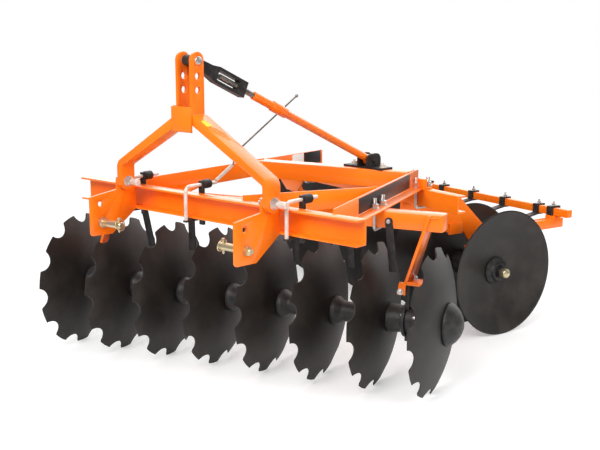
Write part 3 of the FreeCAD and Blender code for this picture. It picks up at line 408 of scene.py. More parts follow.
# %% Forge
class Forge:
    """Collects closed skins in one mesh, drawn in the millimetres of a plan."""

    def __init__(self, place=HARROW):
        self.bm = bmesh.new()
        self.place = place

    def skin(self, rings, open_loop=False):
        made = [[self.bm.verts.new(self.place @ p) for p in ring] for ring in rings]
        count = len(made[0])
        pairs = list(zip(made, made[1:]))
        if open_loop:
            pairs.append((made[-1], made[0]))
        for low, high in pairs:
            for j in range(count):
                k = (j + 1) % count
                self.bm.faces.new((low[j], low[k], high[k], high[j]))
        if not open_loop:
            self.bm.faces.new(made[0][::-1])
            self.bm.faces.new(made[-1])

    def turned(self, start, way, profile, sides=28, turn=0.0):
        start = Vector(start)
        way = Vector(way).normalized()
        side = way.orthogonal().normalized() if abs(way.z) > 0.99 else way.cross(Vector((0, 0, 1))).normalized()
        up = side.cross(way)
        rings = []
        for along, radius in profile:
            ring = []
            for j in range(sides):
                t = 2 * math.pi * j / sides + turn
                r = radius(t) if callable(radius) else radius
                ring.append(start + way * along + (side * math.cos(t) + up * math.sin(t)) * r)
            rings.append(ring)
        self.skin(rings)

    def thread(self, start, way, radius, length, pitch=2.5, lead=0.0):
        depth = pitch * 0.32
        rows = max(4, int(length / pitch * 4))

        def cut(along):
            return lambda t: radius - depth * abs(2.0 * ((along / pitch - t / (2 * math.pi)) % 1.0) - 1.0)

        profile = [(lead + length * i / rows, cut(length * i / rows)) for i in range(rows + 1)]
        profile.append((lead + length + 1.2, radius - 1.6))
        self.turned(start, way, profile, sides=16)

    def bolt(self, foot, way, size=12.0, stub=0.0, washer=True):
        """A washer and a hexagon that bear on foot; stub is the thread shown beyond a nut."""
        sheet = 0.18 * size if washer else 0.0
        if washer:
            self.turned(foot, way, [(0, size * 1.12), (sheet * 0.8, size * 1.12), (sheet, size * 1.05)], 24)
        hexagon = size * 0.92
        tall = size * (0.85 if stub else 0.66)
        self.turned(foot, way, [(sheet, hexagon * 0.93), (sheet + 0.08 * size, hexagon),
                                (sheet + tall - 0.1 * size, hexagon), (sheet + tall, hexagon * 0.82)], 6, 0.3)
        if stub:
            self.thread(foot, way, size * 0.5, stub, lead=sheet + tall - 1.0, pitch=size * 0.16)

    def bent(self, points, radius, bend, sides=14, steps=7):
        """A rod through the points, its corners rounded by the bend radius."""
        points = [Vector(p) for p in points]
        path = [points[0]]
        for before, corner, after in zip(points, points[1:], points[2:]):
            a = (before - corner).normalized()
            b = (after - corner).normalized()
            half = a.angle(b) / 2
            reach = bend / math.tan(half)
            centre = corner + (a + b).normalized() * (bend / math.sin(half))
            first = corner + a * reach - centre
            last = corner + b * reach - centre
            for i in range(steps + 1):
                path.append(centre + first.lerp(last, i / steps).normalized() * bend)
        path.append(points[-1])
        self.tube(path, radius, sides)

    def tube(self, path, radius, sides=12, closed=False):
        rings = []
        normal = None
        for i, p in enumerate(path):
            before = path[i - 1] if i or closed else p
            after = path[(i + 1) % len(path)] if i < len(path) - 1 or closed else p
            way = (after - before).normalized()
            if normal is None:
                normal = way.orthogonal().normalized()
            normal = (normal - way * normal.dot(way)).normalized()
            other = way.cross(normal)
            size = radius(i) if callable(radius) else radius
            rings.append([p + (normal * math.cos(2 * math.pi * j / sides)
                               + other * math.sin(2 * math.pi * j / sides)) * size for j in range(sides)])
        self.skin(rings, closed)

    def bead(self, start, end, radius=4.0):
        """A weld bead: a slim row of overlapping ripples, half sunk in its corner."""
        start, end = Vector(start), Vector(end)
        rows = max(6, int((end - start).length / 1.6))
        path = [start.lerp(end, i / rows) for i in range(rows + 1)]
        swell = [radius * (0.55 if i in (0, rows) else 0.86 + 0.14 * math.sin(i * 2.1) + 0.05 * math.sin(i * 0.37))
                 for i in range(rows + 1)]
        self.tube(path, lambda i: swell[i], 7)

    def slab(self, corners, lift, soft=1.2):
        """A flat plate over the corners, lifted by a vector, with its edges rounded."""
        own = bmesh.new()
        low = [own.verts.new(Vector(c)) for c in corners]
        face = own.faces.new(low)
        top = bmesh.ops.extrude_face_region(own, geom=[face])["geom"]
        for v in (g for g in top if isinstance(g, bmesh.types.BMVert)):
            v.co += Vector(lift)
        bmesh.ops.bevel(own, geom=list(own.edges), offset=soft, segments=2, profile=0.5, affect="EDGES",
                        offset_type="OFFSET", clamp_overlap=True)
        own.transform(self.place)
        joined = bpy.data.meshes.new("slab")
        own.to_mesh(joined)
        own.free()
        self.bm.from_mesh(joined)
        bpy.data.meshes.remove(joined)

    def make(self, name, body, finish, smooth=38.0, stands_for=None):
        bmesh.ops.recalc_face_normals(self.bm, faces=self.bm.faces)
        mesh = bpy.data.meshes.new(name)
        self.bm.to_mesh(mesh)
        self.bm.free()
        shade_by_angle(mesh, smooth)
        piece = link_piece(name, mesh, body, finish)
        if stands_for:
            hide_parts(stands_for)
        return piece


SLOT_FINISH = {"orange_paint": ORANGE, "black_paint": BLACK, "disc_steel": DISC,
               "zinc_steel": ZINC, "yellow_zinc": YELLOW_ZINC}
NODE_SLOT = {row["node"]: row["material_slot"] for row in frame["record"]["subparts"]}


def link_piece(name, mesh, body, finish):
    piece = bpy.data.objects.new(name, mesh)
    scene.collection.objects.link(piece)
    mesh.materials.clear()
    mesh.materials.append(finish)
    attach(piece, body)
    return piece


def shade_by_angle(mesh, degrees=30.0):
    sharp = math.radians(degrees)
    bm = bmesh.new()
    bm.from_mesh(mesh)
    for face in bm.faces:
        face.smooth = True
    for edge in bm.edges:
        edge.smooth = len(edge.link_faces) == 2 and edge.calc_face_angle(0.0) < sharp
    bm.to_mesh(mesh)
    bm.free()


print("forge ready")

# %% [markdown]
# Sheared plate has hard edges only in a drawing. Real plate has a small round
# at each cut, which catches the light as a thin bright line. Each solid of bar
# and plate is copied, its facets are joined to flat faces again, and its long
# sharp edges get a small bevel. The copy then stands for the solid in its place.
# The bearings and the stay's foot are only shaded smooth.

# %% Softened bars and plates
def softened(node, radius, least_angle=40.0):
    source = frame["nodes"][node]
    mesh = source.data.copy()
    mesh.name = node + "_dressed"
    bm = bmesh.new()
    bm.from_mesh(mesh)
    bmesh.ops.remove_doubles(bm, verts=bm.verts, dist=1e-6)
    if radius:
        bmesh.ops.dissolve_limit(bm, angle_limit=math.radians(0.6), verts=bm.verts, edges=bm.edges)
        sharp = [e for e in bm.edges
                 if len(e.link_faces) == 2 and e.calc_face_angle(0.0) > math.radians(least_angle)]
        bmesh.ops.bevel(bm, geom=sharp, offset=radius, offset_type="OFFSET", segments=2,
                        profile=0.5, affect="EDGES", clamp_overlap=True)
    bm.to_mesh(mesh)
    bm.free()
    shade_by_angle(mesh)
    slot = NODE_SLOT[node]
    piece = link_piece(node + "_dressed", mesh, source["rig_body"], SLOT_FINISH[slot])
    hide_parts(node)
    return piece


SOFT_RADIUS = {
    "hitch_beam": 0.003, "left_member": 0.003, "right_member": 0.003, "cross_beam": 0.006,
    "front_gang_beam": 0.006, "rear_gang_beam": 0.003, "left_mast_leg": 0.002, "right_mast_leg": 0.002,
    "diagonal_brace": 0.002, "mast_front_plate": 0.0016, "scraper_bar": 0.002,
    "left_mast_plate": 0.0012, "right_mast_plate": 0.0012, "left_hitch_plate": 0.0012,
    "right_hitch_plate": 0.0012, "rear_arm_left": 0.0014, "rear_arm_right": 0.0014,
    "corner_gusset": 0.001,
    "rear_scrapers": 0.001, "bar_clamps": 0.0012, "front_scrapers": 0.001,
}
for node, radius in SOFT_RADIUS.items():
    softened(node, radius)
SMOOTH_ONLY = ("stay_foot", "front_bearing_left", "front_bearing_right",
               "rear_bearing_left", "rear_bearing_right")
for node in SMOOTH_ONLY:
    softened(node, 0.0)
print("softened:", len(SOFT_RADIUS), "shaded smooth:", len(SMOOTH_ONLY))

# %% [markdown]
# A dish is a cap of a sphere with a flat middle. Its skin is laid in rings from
# the hub to the rim. On the notched dishes each column of points ends on the rim
# or on the round of a notch, and the rim is ground to a thin edge. The dishes
# sit on a square axle, so each is a quarter turn, or a few, from its neighbour.

# %% Dishes
DISC_RADIUS = 280.0
DISC_DEPTH = 65.0
DISC_SHEET = 5.0
DISC_FLAT = 70.0
DISC_BORE = 24.0
RIM_BAND = 236.0
BACK_BAND = 232.0
NOTCH_COUNT = 11
NOTCH_RADIUS = 46.0
NOTCH_CENTRE = DISC_RADIUS + 12.5
FIRST_NOTCH = 22.65
QUARTER_TURNS = (0, 0, 0, 1, 1, 2, 3, 3)
SPHERE = (DISC_RADIUS ** 2 + DISC_DEPTH ** 2) / (2 * DISC_DEPTH)


def dish_face(r, sphere=SPHERE):
    return DISC_DEPTH - SPHERE + math.sqrt(sphere ** 2 - r ** 2)


HUB_OUT = dish_face(DISC_FLAT)
HUB_IN = HUB_OUT - DISC_SHEET


def rim_columns(notched):
    """Angle and radius of each column's end, once round the rim."""
    if not notched:
        return [(2 * math.pi * i / 180, DISC_RADIUS, False) for i in range(180)]
    mouth = math.acos((DISC_RADIUS ** 2 + NOTCH_CENTRE ** 2 - NOTCH_RADIUS ** 2)
                      / (2 * DISC_RADIUS * NOTCH_CENTRE))
    swing = math.asin(DISC_RADIUS * math.sin(mouth) / NOTCH_RADIUS)
    columns = []
    step = 2 * math.pi / NOTCH_COUNT
    for n in range(NOTCH_COUNT):
        middle = math.radians(FIRST_NOTCH) + n * step
        for i in range(15):
            a = swing * (2 * i / 14 - 1)
            x = NOTCH_CENTRE - NOTCH_RADIUS * math.cos(a)
            y = NOTCH_RADIUS * math.sin(a)
            columns.append((middle + math.atan2(y, x), math.hypot(x, y), 0 < i < 14))
        for i in range(1, 8):
            columns.append((middle + mouth + (step - 2 * mouth) * i / 8, DISC_RADIUS, False))
    return columns


def dish(name, place, rim, mirror, turn, columns, stands_for, body):
    forge = Forge(place)
    way = -1 if mirror else 1
    inner = SPHERE - DISC_SHEET
    rows = []
    flat_in = math.sqrt(inner ** 2 - (HUB_IN - DISC_DEPTH + SPHERE) ** 2)
    for r in (DISC_BORE, 45.0, DISC_FLAT - 3):
        rows.append([(HUB_OUT, r, t) for t, end, cut in columns])
    for i in range(10):
        r = DISC_FLAT + (RIM_BAND - DISC_FLAT) * i / 9
        rows.append([(dish_face(r), r, t) for t, end, cut in columns])
    for share in (0.25, 0.5, 0.75, 1.0):
        row = []
        for t, end, cut in columns:
            r = RIM_BAND + (end - RIM_BAND) * share
            row.append((dish_face(r), r, t))
        rows.append(row)
    back = []
    for r in (DISC_BORE, 45.0, flat_in - 3):
        back.append([(HUB_IN, r, t) for t, end, cut in columns])
    for i in range(10):
        r = flat_in + (BACK_BAND - flat_in) * i / 9
        back.append([(dish_face(r, inner), r, t) for t, end, cut in columns])
    for share in (0.4, 0.8, 1.0):
        row = []
        for t, end, cut in columns:
            edge = end - (1.0 if cut else 7.0)
            r = BACK_BAND + (edge - BACK_BAND) * share
            row.append((dish_face(r, inner), r, t))
        back.append(row)
    loop = rows + [[(p[0] - 0.9, p[1], p[2]) for p in rows[-1]]] + back[::-1]
    rings = []
    for row in loop:
        rings.append([Vector((rim + way * x, r * math.cos(t + turn), AXLE_HEIGHT + r * math.sin(t + turn)))
                      for x, r, t in row])
    forge.skin(rings, open_loop=True)
    return forge.make(name, body, DISC, smooth=24.0, stands_for=stands_for)


notched_columns = rim_columns(True)
plain_columns = rim_columns(False)
for i in range(8):
    dish("front_dish_%d" % (i + 1), FRONT_GANG, DISC_SPACING * i, False, math.radians(90 * QUARTER_TURNS[i]),
         notched_columns, "front_disc_%d" % (i + 1), "front_gang")
    dish("rear_dish_%d" % (i + 1), REAR_GANG, DISC_SPACING * i, True, 0.0,
         plain_columns, "rear_disc_%d" % (i + 1), "rear_gang")
print("dishes: 16, columns round a notched rim:", len(notched_columns))

# %% [markdown]
# Between the dishes sit cast spools, and where a bearing hangs, a journal with
# a broad shoulder. They are turned bodies whose corners are rounded by the
# mould. A bell closes the convex end of each gang and a stepped washer the
# hollow end, where the axle's nut and its brass-coloured tip stand out.

# %% Spools, bells and axles
def rounded(steps, soft=3.0):
    """A profile whose corners are cut twice, so that it shades as a cast round."""
    out = [steps[0]]
    for (x0, r0), (x1, r1), (x2, r2) in zip(steps, steps[1:], steps[2:]):
        a = Vector((x0 - x1, r0 - r1))
        b = Vector((x2 - x1, r2 - r1))
        cut_a = min(soft, a.length * 0.45)
        cut_b = min(soft, b.length * 0.45)
        corner = Vector((x1, r1))
        first = corner + a.normalized() * cut_a
        last = corner + b.normalized() * cut_b
        out.extend((p.x, p.y) for p in (first, (first + last) * 0.25 + corner * 0.5, last))
    out.append(steps[-1])
    return out


SPOOL_STEPS = rounded([(0, 54), (0.5, 56), (16, 56), (42, 39), (181, 39), (207, 56), (222.5, 56), (223, 54)])
JOURNAL_STEPS = rounded([(0, 54), (0.5, 56), (57.0, 50), (57.5, 32), (165.5, 32), (166, 50), (222.5, 56),
                         (223, 54)], 1.5)
BELL_STEPS = rounded([(0, 80), (1, 82), (9, 82), (19, 75), (32.5, 63), (45, 46), (53, 28), (56, 19)], 4.0)
WASHER_STEPS = rounded([(0, 61), (1, 63), (9, 63), (12, 58), (22, 45), (33, 41), (34, 36)], 3.0)


def turned_row(name, place, body, rows, finish, stands_for=None, smooth=38.0):
    forge = Forge(place)
    for start, way, steps, sides in rows:
        forge.turned((start, 0, AXLE_HEIGHT), (way, 0, 0), steps, sides)
    return forge.make(name, body, finish, smooth, stands_for)


for gang, place, body, hub, journals in (
        ("front", FRONT_GANG, "front_gang", HUB_OUT, (0, 6)), ("rear", REAR_GANG, "rear_gang", -HUB_IN, (2, 6))):
    rows = [(DISC_SPACING * i + hub, 1, JOURNAL_STEPS if i in journals else SPOOL_STEPS, 56) for i in range(7)]
    turned_row(gang + "_spools_cast", place, body, rows, BLACK, gang + "_spools")
last_rim = DISC_SPACING * 7
turned_row("front_bell", FRONT_GANG, "front_gang",
           [(last_rim + HUB_OUT, 1, BELL_STEPS, 64), (HUB_IN, -1, WASHER_STEPS, 56)],
           BLACK, "front_end_caps")
turned_row("rear_bell", REAR_GANG, "rear_gang",
           [(-HUB_OUT, -1, BELL_STEPS, 64), (last_rim - HUB_IN, 1, WASHER_STEPS, 56)],
           BLACK, "rear_end_caps")

AXLE_HALF = 16


def square_bar(forge, start, length):
    """The gang's square axle, from start along the plan's x."""
    forge.slab([(start, -AXLE_HALF, AXLE_HEIGHT - AXLE_HALF), (start, AXLE_HALF, AXLE_HEIGHT - AXLE_HALF),
                (start, AXLE_HALF, AXLE_HEIGHT + AXLE_HALF), (start, -AXLE_HALF, AXLE_HEIGHT + AXLE_HALF)],
               (length, 0, 0), 2.0)


forge = Forge(FRONT_GANG)
square_bar(forge, HUB_IN, last_rim + HUB_OUT - HUB_IN)
forge.thread((last_rim + HUB_OUT, 0, AXLE_HEIGHT), (1, 0, 0), 15.0, 51.0, 3.0)
forge.thread((HUB_IN, 0, AXLE_HEIGHT), (-1, 0, 0), 15.0, 50.0, 3.0)
forge.make("front_axle_bar", "front_gang", YELLOW_ZINC, stands_for="front_axle")
forge = Forge(FRONT_GANG)
forge.turned((HUB_IN - 34, 0, AXLE_HEIGHT), (-1, 0, 0), [(0, 29), (2, 32), (20, 32), (24, 28)], 6, 0.4)
forge.make("front_left_nut", "front_gang", BLACK, 30.0)

forge = Forge(REAR_GANG)
square_bar(forge, -HUB_OUT, last_rim - HUB_IN + HUB_OUT)
tip = last_rim - HUB_IN
forge.turned((tip, 0, AXLE_HEIGHT), (1, 0, 0),
             rounded([(50, 20), (57.9, 22), (62, 22), (72, 21), (78, 15), (81.6, 7)], 3.0), 40)
forge.turned((tip, 0, AXLE_HEIGHT), (1, 0, 0), [(20, 15), (56, 15)], 24)
forge.thread((-HUB_OUT, 0, AXLE_HEIGHT), (-1, 0, 0), 15.0, 51.0, 3.0)
forge.make("rear_axle_bar", "rear_gang", YELLOW_ZINC, stands_for="rear_axle")
forge = Forge(REAR_GANG)
forge.turned((tip + 34, 0, AXLE_HEIGHT), (1, 0, 0), [(0, 28), (2, 31), (18, 31), (22, 27)], 6, 0.4)
forge.make("rear_right_nut", "rear_gang", BLACK, 30.0)
print("gangs dressed")

# %% [markdown]
# The stay runs from the top pin to its foot. Its yoke is forged in one piece
# with a window in which the dark screw shows; below the yoke the screw's bare
# thread enters an orange tube with a thicker collar. The top pin goes through
# the yoke's eye and the mast, and a cotter holds it.

# %% Stay
YOKE_LENGTH = 279.0
SCREW_SHOWN = 53.0
forge = Forge(STAY)
forge.thread((150, 0, 0), (1, 0, 0), 11.0, YOKE_LENGTH + SCREW_SHOWN - 152, 3.2)
forge.make("stay_screw_cut", "frame", SCREW_STEEL, stands_for="stay_screw")
YOKE_OUTLINE = ((0, -18), (96, -22), (130, -30), (205, -30), (279, -30),
                (279, 30), (205, 30), (130, 30), (96, 22), (0, 18))
YOKE_WINDOW = ((131, -6), (131, -17), (140, -19), (205, -19), (240, -19),
               (240, 19), (205, 19), (140, 19), (131, 17), (131, 6))
forge = Forge(STAY)
forge.skin([[Vector((x, y, z)) for x, z in outline]
            for y, outline in ((-16, YOKE_WINDOW), (-16, YOKE_OUTLINE), (16, YOKE_OUTLINE), (16, YOKE_WINDOW))],
           open_loop=True)
forge.turned((0, -20, 0), (0, 1, 0), rounded([(0, 17), (1.5, 19), (38.5, 19), (40, 17)], 1.5), 36)
forge.make("stay_yoke_forged", "frame", BLACK, 30.0, stands_for="stay_yoke")
forge = Forge(STAY)
tube_start = YOKE_LENGTH + SCREW_SHOWN
tube_end = stay_run.length - 14
forge.turned((0, 0, 0), (1, 0, 0),
             rounded([(tube_start, 14), (tube_start + 1, 16), (439.5, 16), (440, 20.5), (517.5, 20.5), (518, 16),
                      (tube_end - 30, 16), (tube_end, 14)], 2.0), 36)
forge.turned((stay_run.length, -18, 0), (0, 1, 0), rounded([(0, 20), (1.5, 22), (34.5, 22), (36, 20)], 1.5), 36)
forge.make("stay_tube_drawn", "frame", ORANGE, stands_for="stay_tube")

forge = Forge(HARROW)
pin_x, pin_y, pin_z = TOP_PIN
forge.turned((pin_x + 49, pin_y, pin_z), (-1, 0, 0),
             rounded([(0, 13), (1.5, 15), (8, 15), (8.2, 12.45), (100, 12.45), (104, 10)], 1.0), 32)
forge.make("top_pin_turned", "frame", ZINC, stands_for="top_pin")
forge = Forge(HARROW)
forge.bent([(pin_x - 48, pin_y, pin_z + 19), (pin_x - 48, pin_y, pin_z - 19),
            (pin_x - 48, pin_y + 12, pin_z - 24)], 2.0, 4.0, 8)
forge.make("top_pin_cotter", "frame", ZINC)
print("stay dressed")

# %% [markdown]
# Three bent rods grip the hitch beam. The upper tail of each runs back over the
# beam through a black knob, and its lower end stands straight in front of the
# beam, held by a short black strap below. A second strap stands upright behind
# the web. A thin spare rod rises from the middle one, cranked near its foot,
# where a pale sleeve covers it.

# %% Hooks, straps and spare rod
HOOKS = (316.0, 646.0, 1140.0)
HOOK_TOP = 780.0
HOOK_BOTTOM = 649.0
HOOK_FRONT = -68.0
ROD_X = 649.0
forge = Forge(HARROW)
for x in HOOKS:
    forge.bent([(x, HOOK_FRONT, HOOK_BOTTOM), (x, HOOK_FRONT, HOOK_TOP), (x, 90, HOOK_TOP)], 7.0, 20.0, 18, 8)
forge.make("hooks_bent", "frame", HOOK_PLATE, stands_for="beam_hooks")
forge = Forge(HARROW)
for x in HOOKS:
    forge.slab([(x - 11, 8.2, 628), (x + 11, 8.2, 628), (x + 11, 8.2, 794), (x - 11, 8.2, 794)],
               (0, 11.8, 0), 1.0)
    forge.slab([(x - 9, -76, HOOK_BOTTOM), (x + 9, -76, HOOK_BOTTOM),
                (x + 9, 9, HOOK_BOTTOM), (x - 9, 9, HOOK_BOTTOM)], (0, 0, 7), 1.0)
    forge.turned((x, 18, HOOK_TOP), (0, 1, 0), rounded([(0, 14), (2, 17), (36, 17), (39, 14)], 3.0), 32)
forge.make("hook_knobs", "frame", BLACK, stands_for="beam_clamps")
forge = Forge(HARROW)
forge.bent([(ROD_X, 84, 785), (ROD_X, 180, 838), (ROD_X, 198, 884), (ROD_X, 551, 1078)], 3.5, 14.0, 12)
forge.turned((ROD_X, 551, 1078), (0, 353, 194),
             [(-7, 1.5), (-6, 4), (-3, 6.3), (0, 7), (3, 6.3), (6, 4), (6.9, 1.5)], 20)
forge.make("spare_rod", "frame", SCREW_STEEL, stands_for="hook_rod")
forge = Forge(HARROW)
forge.turned((ROD_X, 86, 786), (0, 96, 53), rounded([(0, 5), (1.5, 7), (100, 7), (102, 5)], 1.0), 20)
forge.make("rod_sleeve", "frame", CREAM)
print("hooks dressed")

# %% [markdown]
# The lower hitch pins are turned, with a collar against the plate, a nut behind
# it and a linch pin through the tip whose spring ring lies round the pin. The
# mast's legs are bolted to the same two plates.

# %% Hitch pins
PIN_Y = -210.0
PIN_Z = 631.0
PLATE_SHEET = 12
PLATE_FACES = (338.0, 1088.0)
LEG_BOLT_Y = -100
LEG_BOLT_Z = 777


def hitch_pin(side, face, inward):
    seat = face if inward > 0 else face - PLATE_SHEET
    back = face - PLATE_SHEET if inward > 0 else face
    forge = Forge(HARROW)
    forge.turned((back, PIN_Y, PIN_Z), (inward, 0, 0),
                 rounded([(-2, 14), (11.8, 14), (12.2, 19), (13, 21), (21.5, 21), (22, 14), (120, 14),
                          (124, 11)], 1.2), 40)
    forge.thread((back, PIN_Y, PIN_Z), (-inward, 0, 0), 10.0, 9.0, 2.4, lead=14.0)
    forge.turned((back, PIN_Y, PIN_Z), (-inward, 0, 0), [(0.0, 17), (2.4, 17), (2.6, 15)], 28)
    forge.turned((back, PIN_Y, PIN_Z), (-inward, 0, 0), [(2.6, 15.5), (4, 17.0), (14.5, 17.0), (16, 14.5)], 6, 0.2)
    forge.make(side + "_hitch_pin_turned", "frame", YELLOW_ZINC, stands_for=side + "_hitch_pin")
    x = seat + 96 * inward
    forge = Forge(HARROW)
    forge.turned((x, PIN_Y, PIN_Z - 27), (0, 0, 1),
                 rounded([(0, 2), (5, 4.6), (44, 4.6), (45, 6.5), (54, 6.5), (56, 4)], 1.0), 18)
    ring = []
    for i in range(40):
        a = 2 * math.pi * i / 40
        lean = 6.5 * math.cos(a)
        ring.append(Vector((x + inward * (7 - lean), PIN_Y + 21 * math.sin(a), PIN_Z + 3 + 21 * math.cos(a))))
    forge.tube(ring, 2.1, 10, closed=True)
    forge.make(side + "_linch_pin", "frame", YELLOW_ZINC)


hitch_pin("left", PLATE_FACES[0], 1)
hitch_pin("right", PLATE_FACES[1], -1)

forge = Forge(HARROW)
for face in PLATE_FACES:
    forge.bolt((face - PLATE_SHEET, LEG_BOLT_Y, LEG_BOLT_Z), (-1, 0, 0), 20.0, stub=7.0)
    forge.turned((face, LEG_BOLT_Y, LEG_BOLT_Z), (1, 0, 0), [(-14, 10.9), (27, 10.9)], 24)
    forge.bolt((face + 25, LEG_BOLT_Y, LEG_BOLT_Z), (1, 0, 0), 19.0)
forge.make("leg_bolts_cut", "frame", ZINC, stands_for="leg_bolts")
print("hitch dressed")

# %% [markdown]
# The gang beams hang from the side members by U-bolts. Each bolt is one bent
# rod, threaded at both ends, whose nuts bear on the foot of the member. The
# scraper bar, the scraper heads, the bearing feet and the stay's foot have
# plain hexagon bolts, placed from short tables. Pale sleeves lengthen the two
# bolts of the mast's legs to the right.

# %% U-bolts and bolts
def u_bolt(name, place, s, front, back, low, nut_height):
    forge = Forge(place)
    forge.bent([(s, front, nut_height), (s, front, low), (s, back, low), (s, back, nut_height)], 5.9, 12.0, 14)
    for off in (front, back):
        forge.bolt((s, off, nut_height), (0, 0, 1), 17.0, stub=20.0)
    return forge.make(name, "frame", ZINC)


U_BOLTS = (
    ("front_right_u_bolt", FRONT_GANG, 1376.0, -41.0, 41.0, 618.0),
    ("front_left_u_bolt", FRONT_GANG, 442.0, -41.0, 41.0, 618.0),
    ("rear_right_u_bolt", REAR_GANG, 1530.0, -463.0, -398.0, 611.0),
    ("rear_left_u_bolt", REAR_GANG, 712.0, -463.0, -398.0, 611.0),
)
for name, place, s, front, back, low in U_BOLTS:
    u_bolt(name, place, s, front, back, low, MEMBER_BASE + 8.1)

FRONT_BEARINGS = (DISC_SPACING * 0.5 + HUB_OUT - 2.5, DISC_SPACING * 6.5 + HUB_OUT - 2.5)
REAR_BEARINGS = (DISC_SPACING * 2.5 - HUB_OUT + 2.5, DISC_SPACING * 6.5 - HUB_OUT + 2.5)
BAR_MIDDLE = 486.0

forge = Forge(REAR_GANG)
for i in range(1, 7):
    forge.bolt((DISC_SPACING * i - 38, BAR_MIDDLE, 506), (0, 0, 1), 11.0, stub=11.0)
for s in REAR_BEARINGS:
    forge.bolt((s, BAR_MIDDLE, 508), (0, 0, 1), 11.0, stub=11.0)
    for along in (-34, 34):
        for off in (-24, 44):
            forge.bolt((s + along, off, 372), (0, 0, 1), 12.0, stub=6.0)
forge.make("rear_bolts", "frame", ZINC, 30.0)

SCRAPER_HEADS = ((1, 126.0), (2, 129.0), (3, 127.0), (4, 127.0), (5, 127.0), (6, 63.0))
forge = Forge(FRONT_GANG)
for gap, offset in SCRAPER_HEADS:
    forge.bolt((DISC_SPACING * gap + offset, -39.5, 655), (0, -1, 0), 9.5, washer=False)
for s in FRONT_BEARINGS:
    for along in (-22, 28):
        forge.bolt((s + along, 14, 432), (0, 0, 1), 12.0, stub=6.0)
forge.bolt((FRONT_BEARINGS[1] - 58, -47, 396), (0, -1, 0), 11.0)
forge.make("front_bolts", "frame", ZINC, 30.0)

forge = Forge(HARROW)
for x, y in ((706.0, 864.0), (866.0, 852.0)):
    forge.bolt((x, y, 773), (0, 0, 1), 13.0, stub=7.0)
SLEEVE_STEPS = rounded([(0, 8), (6, 8), (6.2, 11), (8, 12), (42, 12), (44, 10)], 1.0)
for face in PLATE_FACES:
    forge.turned((face + 39.8, LEG_BOLT_Y, LEG_BOLT_Z), (1, 0, 0), SLEEVE_STEPS, 28)
forge.make("frame_bolts", "frame", HOOK_PLATE, 30.0)
print("bolts: 4 U-bolts,", len(SCRAPER_HEADS), "scraper heads")

# %% [markdown]
# Each front bearing hangs from a welded standard. A slim strip leans across the
# face of the gang beam, a deep plate stands edge on behind it below the beam,
# and a foot plate closes both. The right front bearing has a small ear beside
# it, and the rear beam a lug near its right end.

# %% Front standards, ear and lug
STANDARD_LEAN = 84.0
for side, s in zip(("left", "right"), FRONT_BEARINGS):
    forge = Forge(FRONT_GANG)
    foot, head, lean = 432.0, 627.0, STANDARD_LEAN * 195 / 256
    forge.slab([(s - 43, -44.5, foot), (s - 31, -44.5, foot),
                (s - 31 + STANDARD_LEAN, -44.5, 688), (s - 43 + STANDARD_LEAN, -44.5, 688)], (0, 11.9, 0), 1.2)
    forge.slab([(s - 43, -34, foot), (s - 43, 66, foot), (s - 43 + lean, 44, head), (s - 43 + lean, -34, head)],
               (12, 0, 0), 1.2)
    forge.slab([(s - 45, -44.5, foot - 10), (s + 40, -44.5, foot - 10), (s + 40, 34, foot - 10),
                (s - 45, 34, foot - 10)], (0, 0, 10), 1.2)
    forge.make(side + "_standard_welded", "frame", ORANGE, 30.0,
               stands_for="front_standard_" + side)

forge = Forge(FRONT_GANG)
ear = FRONT_BEARINGS[1]
forge.slab([(ear - 72, -46.8, 384), (ear - 36, -46.8, 384), (ear - 36, -46.8, 431), (ear - 62, -46.8, 431)],
           (0, 12, 0), 1.5)
forge.make("bearing_ear", "frame", ORANGE)
forge = Forge(REAR_GANG)
forge.slab([(1536, -462, 692.1), (1574, -462, 692.1), (1574, -462, 736), (1536, -462, 736)], (0, 22, 0), 2.0)
forge.slab([(1536, -448, 692.1), (1574, -448, 692.1), (1574, -412, 692.1), (1536, -412, 692.1)], (0, 0, 8), 1.5)
forge.make("beam_lug", "frame", ORANGE)
print("standards, ear and lug welded")

# %% [markdown]
# Each bearing housing has a ring of small cap screws on both faces, a seal lip
# round the journal and a grease nipple on top of its front side.

# %% Bearing details
def bearing_dress(name, place, s):
    screws = Forge(place)
    for face, way in ((s - 48, -1), (s + 48, 1)):
        for i in range(6):
            a = math.radians(60 * i + 30)
            foot = (face, 55 * math.cos(a), AXLE_HEIGHT + 55 * math.sin(a))
            screws.turned(foot, (way, 0, 0), [(-1, 5.2), (0.5, 5.2), (3.4, 5.2), (4.2, 4.2)], 14)
    screws.turned((s, -50, AXLE_HEIGHT + 22), (0, -1, 0.35),
                  [(0, 5), (5, 5), (5.4, 3), (9, 2.4), (10, 3.4), (13, 3), (14, 1.6)], 12)
    screws.make(name + "_screws", "frame", ZINC)
    seal = Forge(place)
    for face, way in ((s - 48, -1), (s + 48, 1)):
        ring = []
        for i in range(40):
            a = 2 * math.pi * i / 40
            ring.append(Vector((face + way * 0.8, 38.6 * math.cos(a), AXLE_HEIGHT + 38.6 * math.sin(a))))
        seal.tube(ring, 3.4, 10, closed=True)
    seal.make(name + "_seals", "frame", BLACK)


for name, place, s in (("front_left_bearing", FRONT_GANG, FRONT_BEARINGS[0]),
                       ("front_right_bearing", FRONT_GANG, FRONT_BEARINGS[1]),
                       ("rear_left_bearing", REAR_GANG, REAR_BEARINGS[0]),
                       ("rear_right_bearing", REAR_GANG, REAR_BEARINGS[1])):
    bearing_dress(name, place, s)
print("bearings dressed")

# %% [markdown]
# The frame is welded by hand. A bead is a slim row of ripples, laid in the
# corner between two plates and painted over with them. The table gives each
# bead's two ends in the plan.

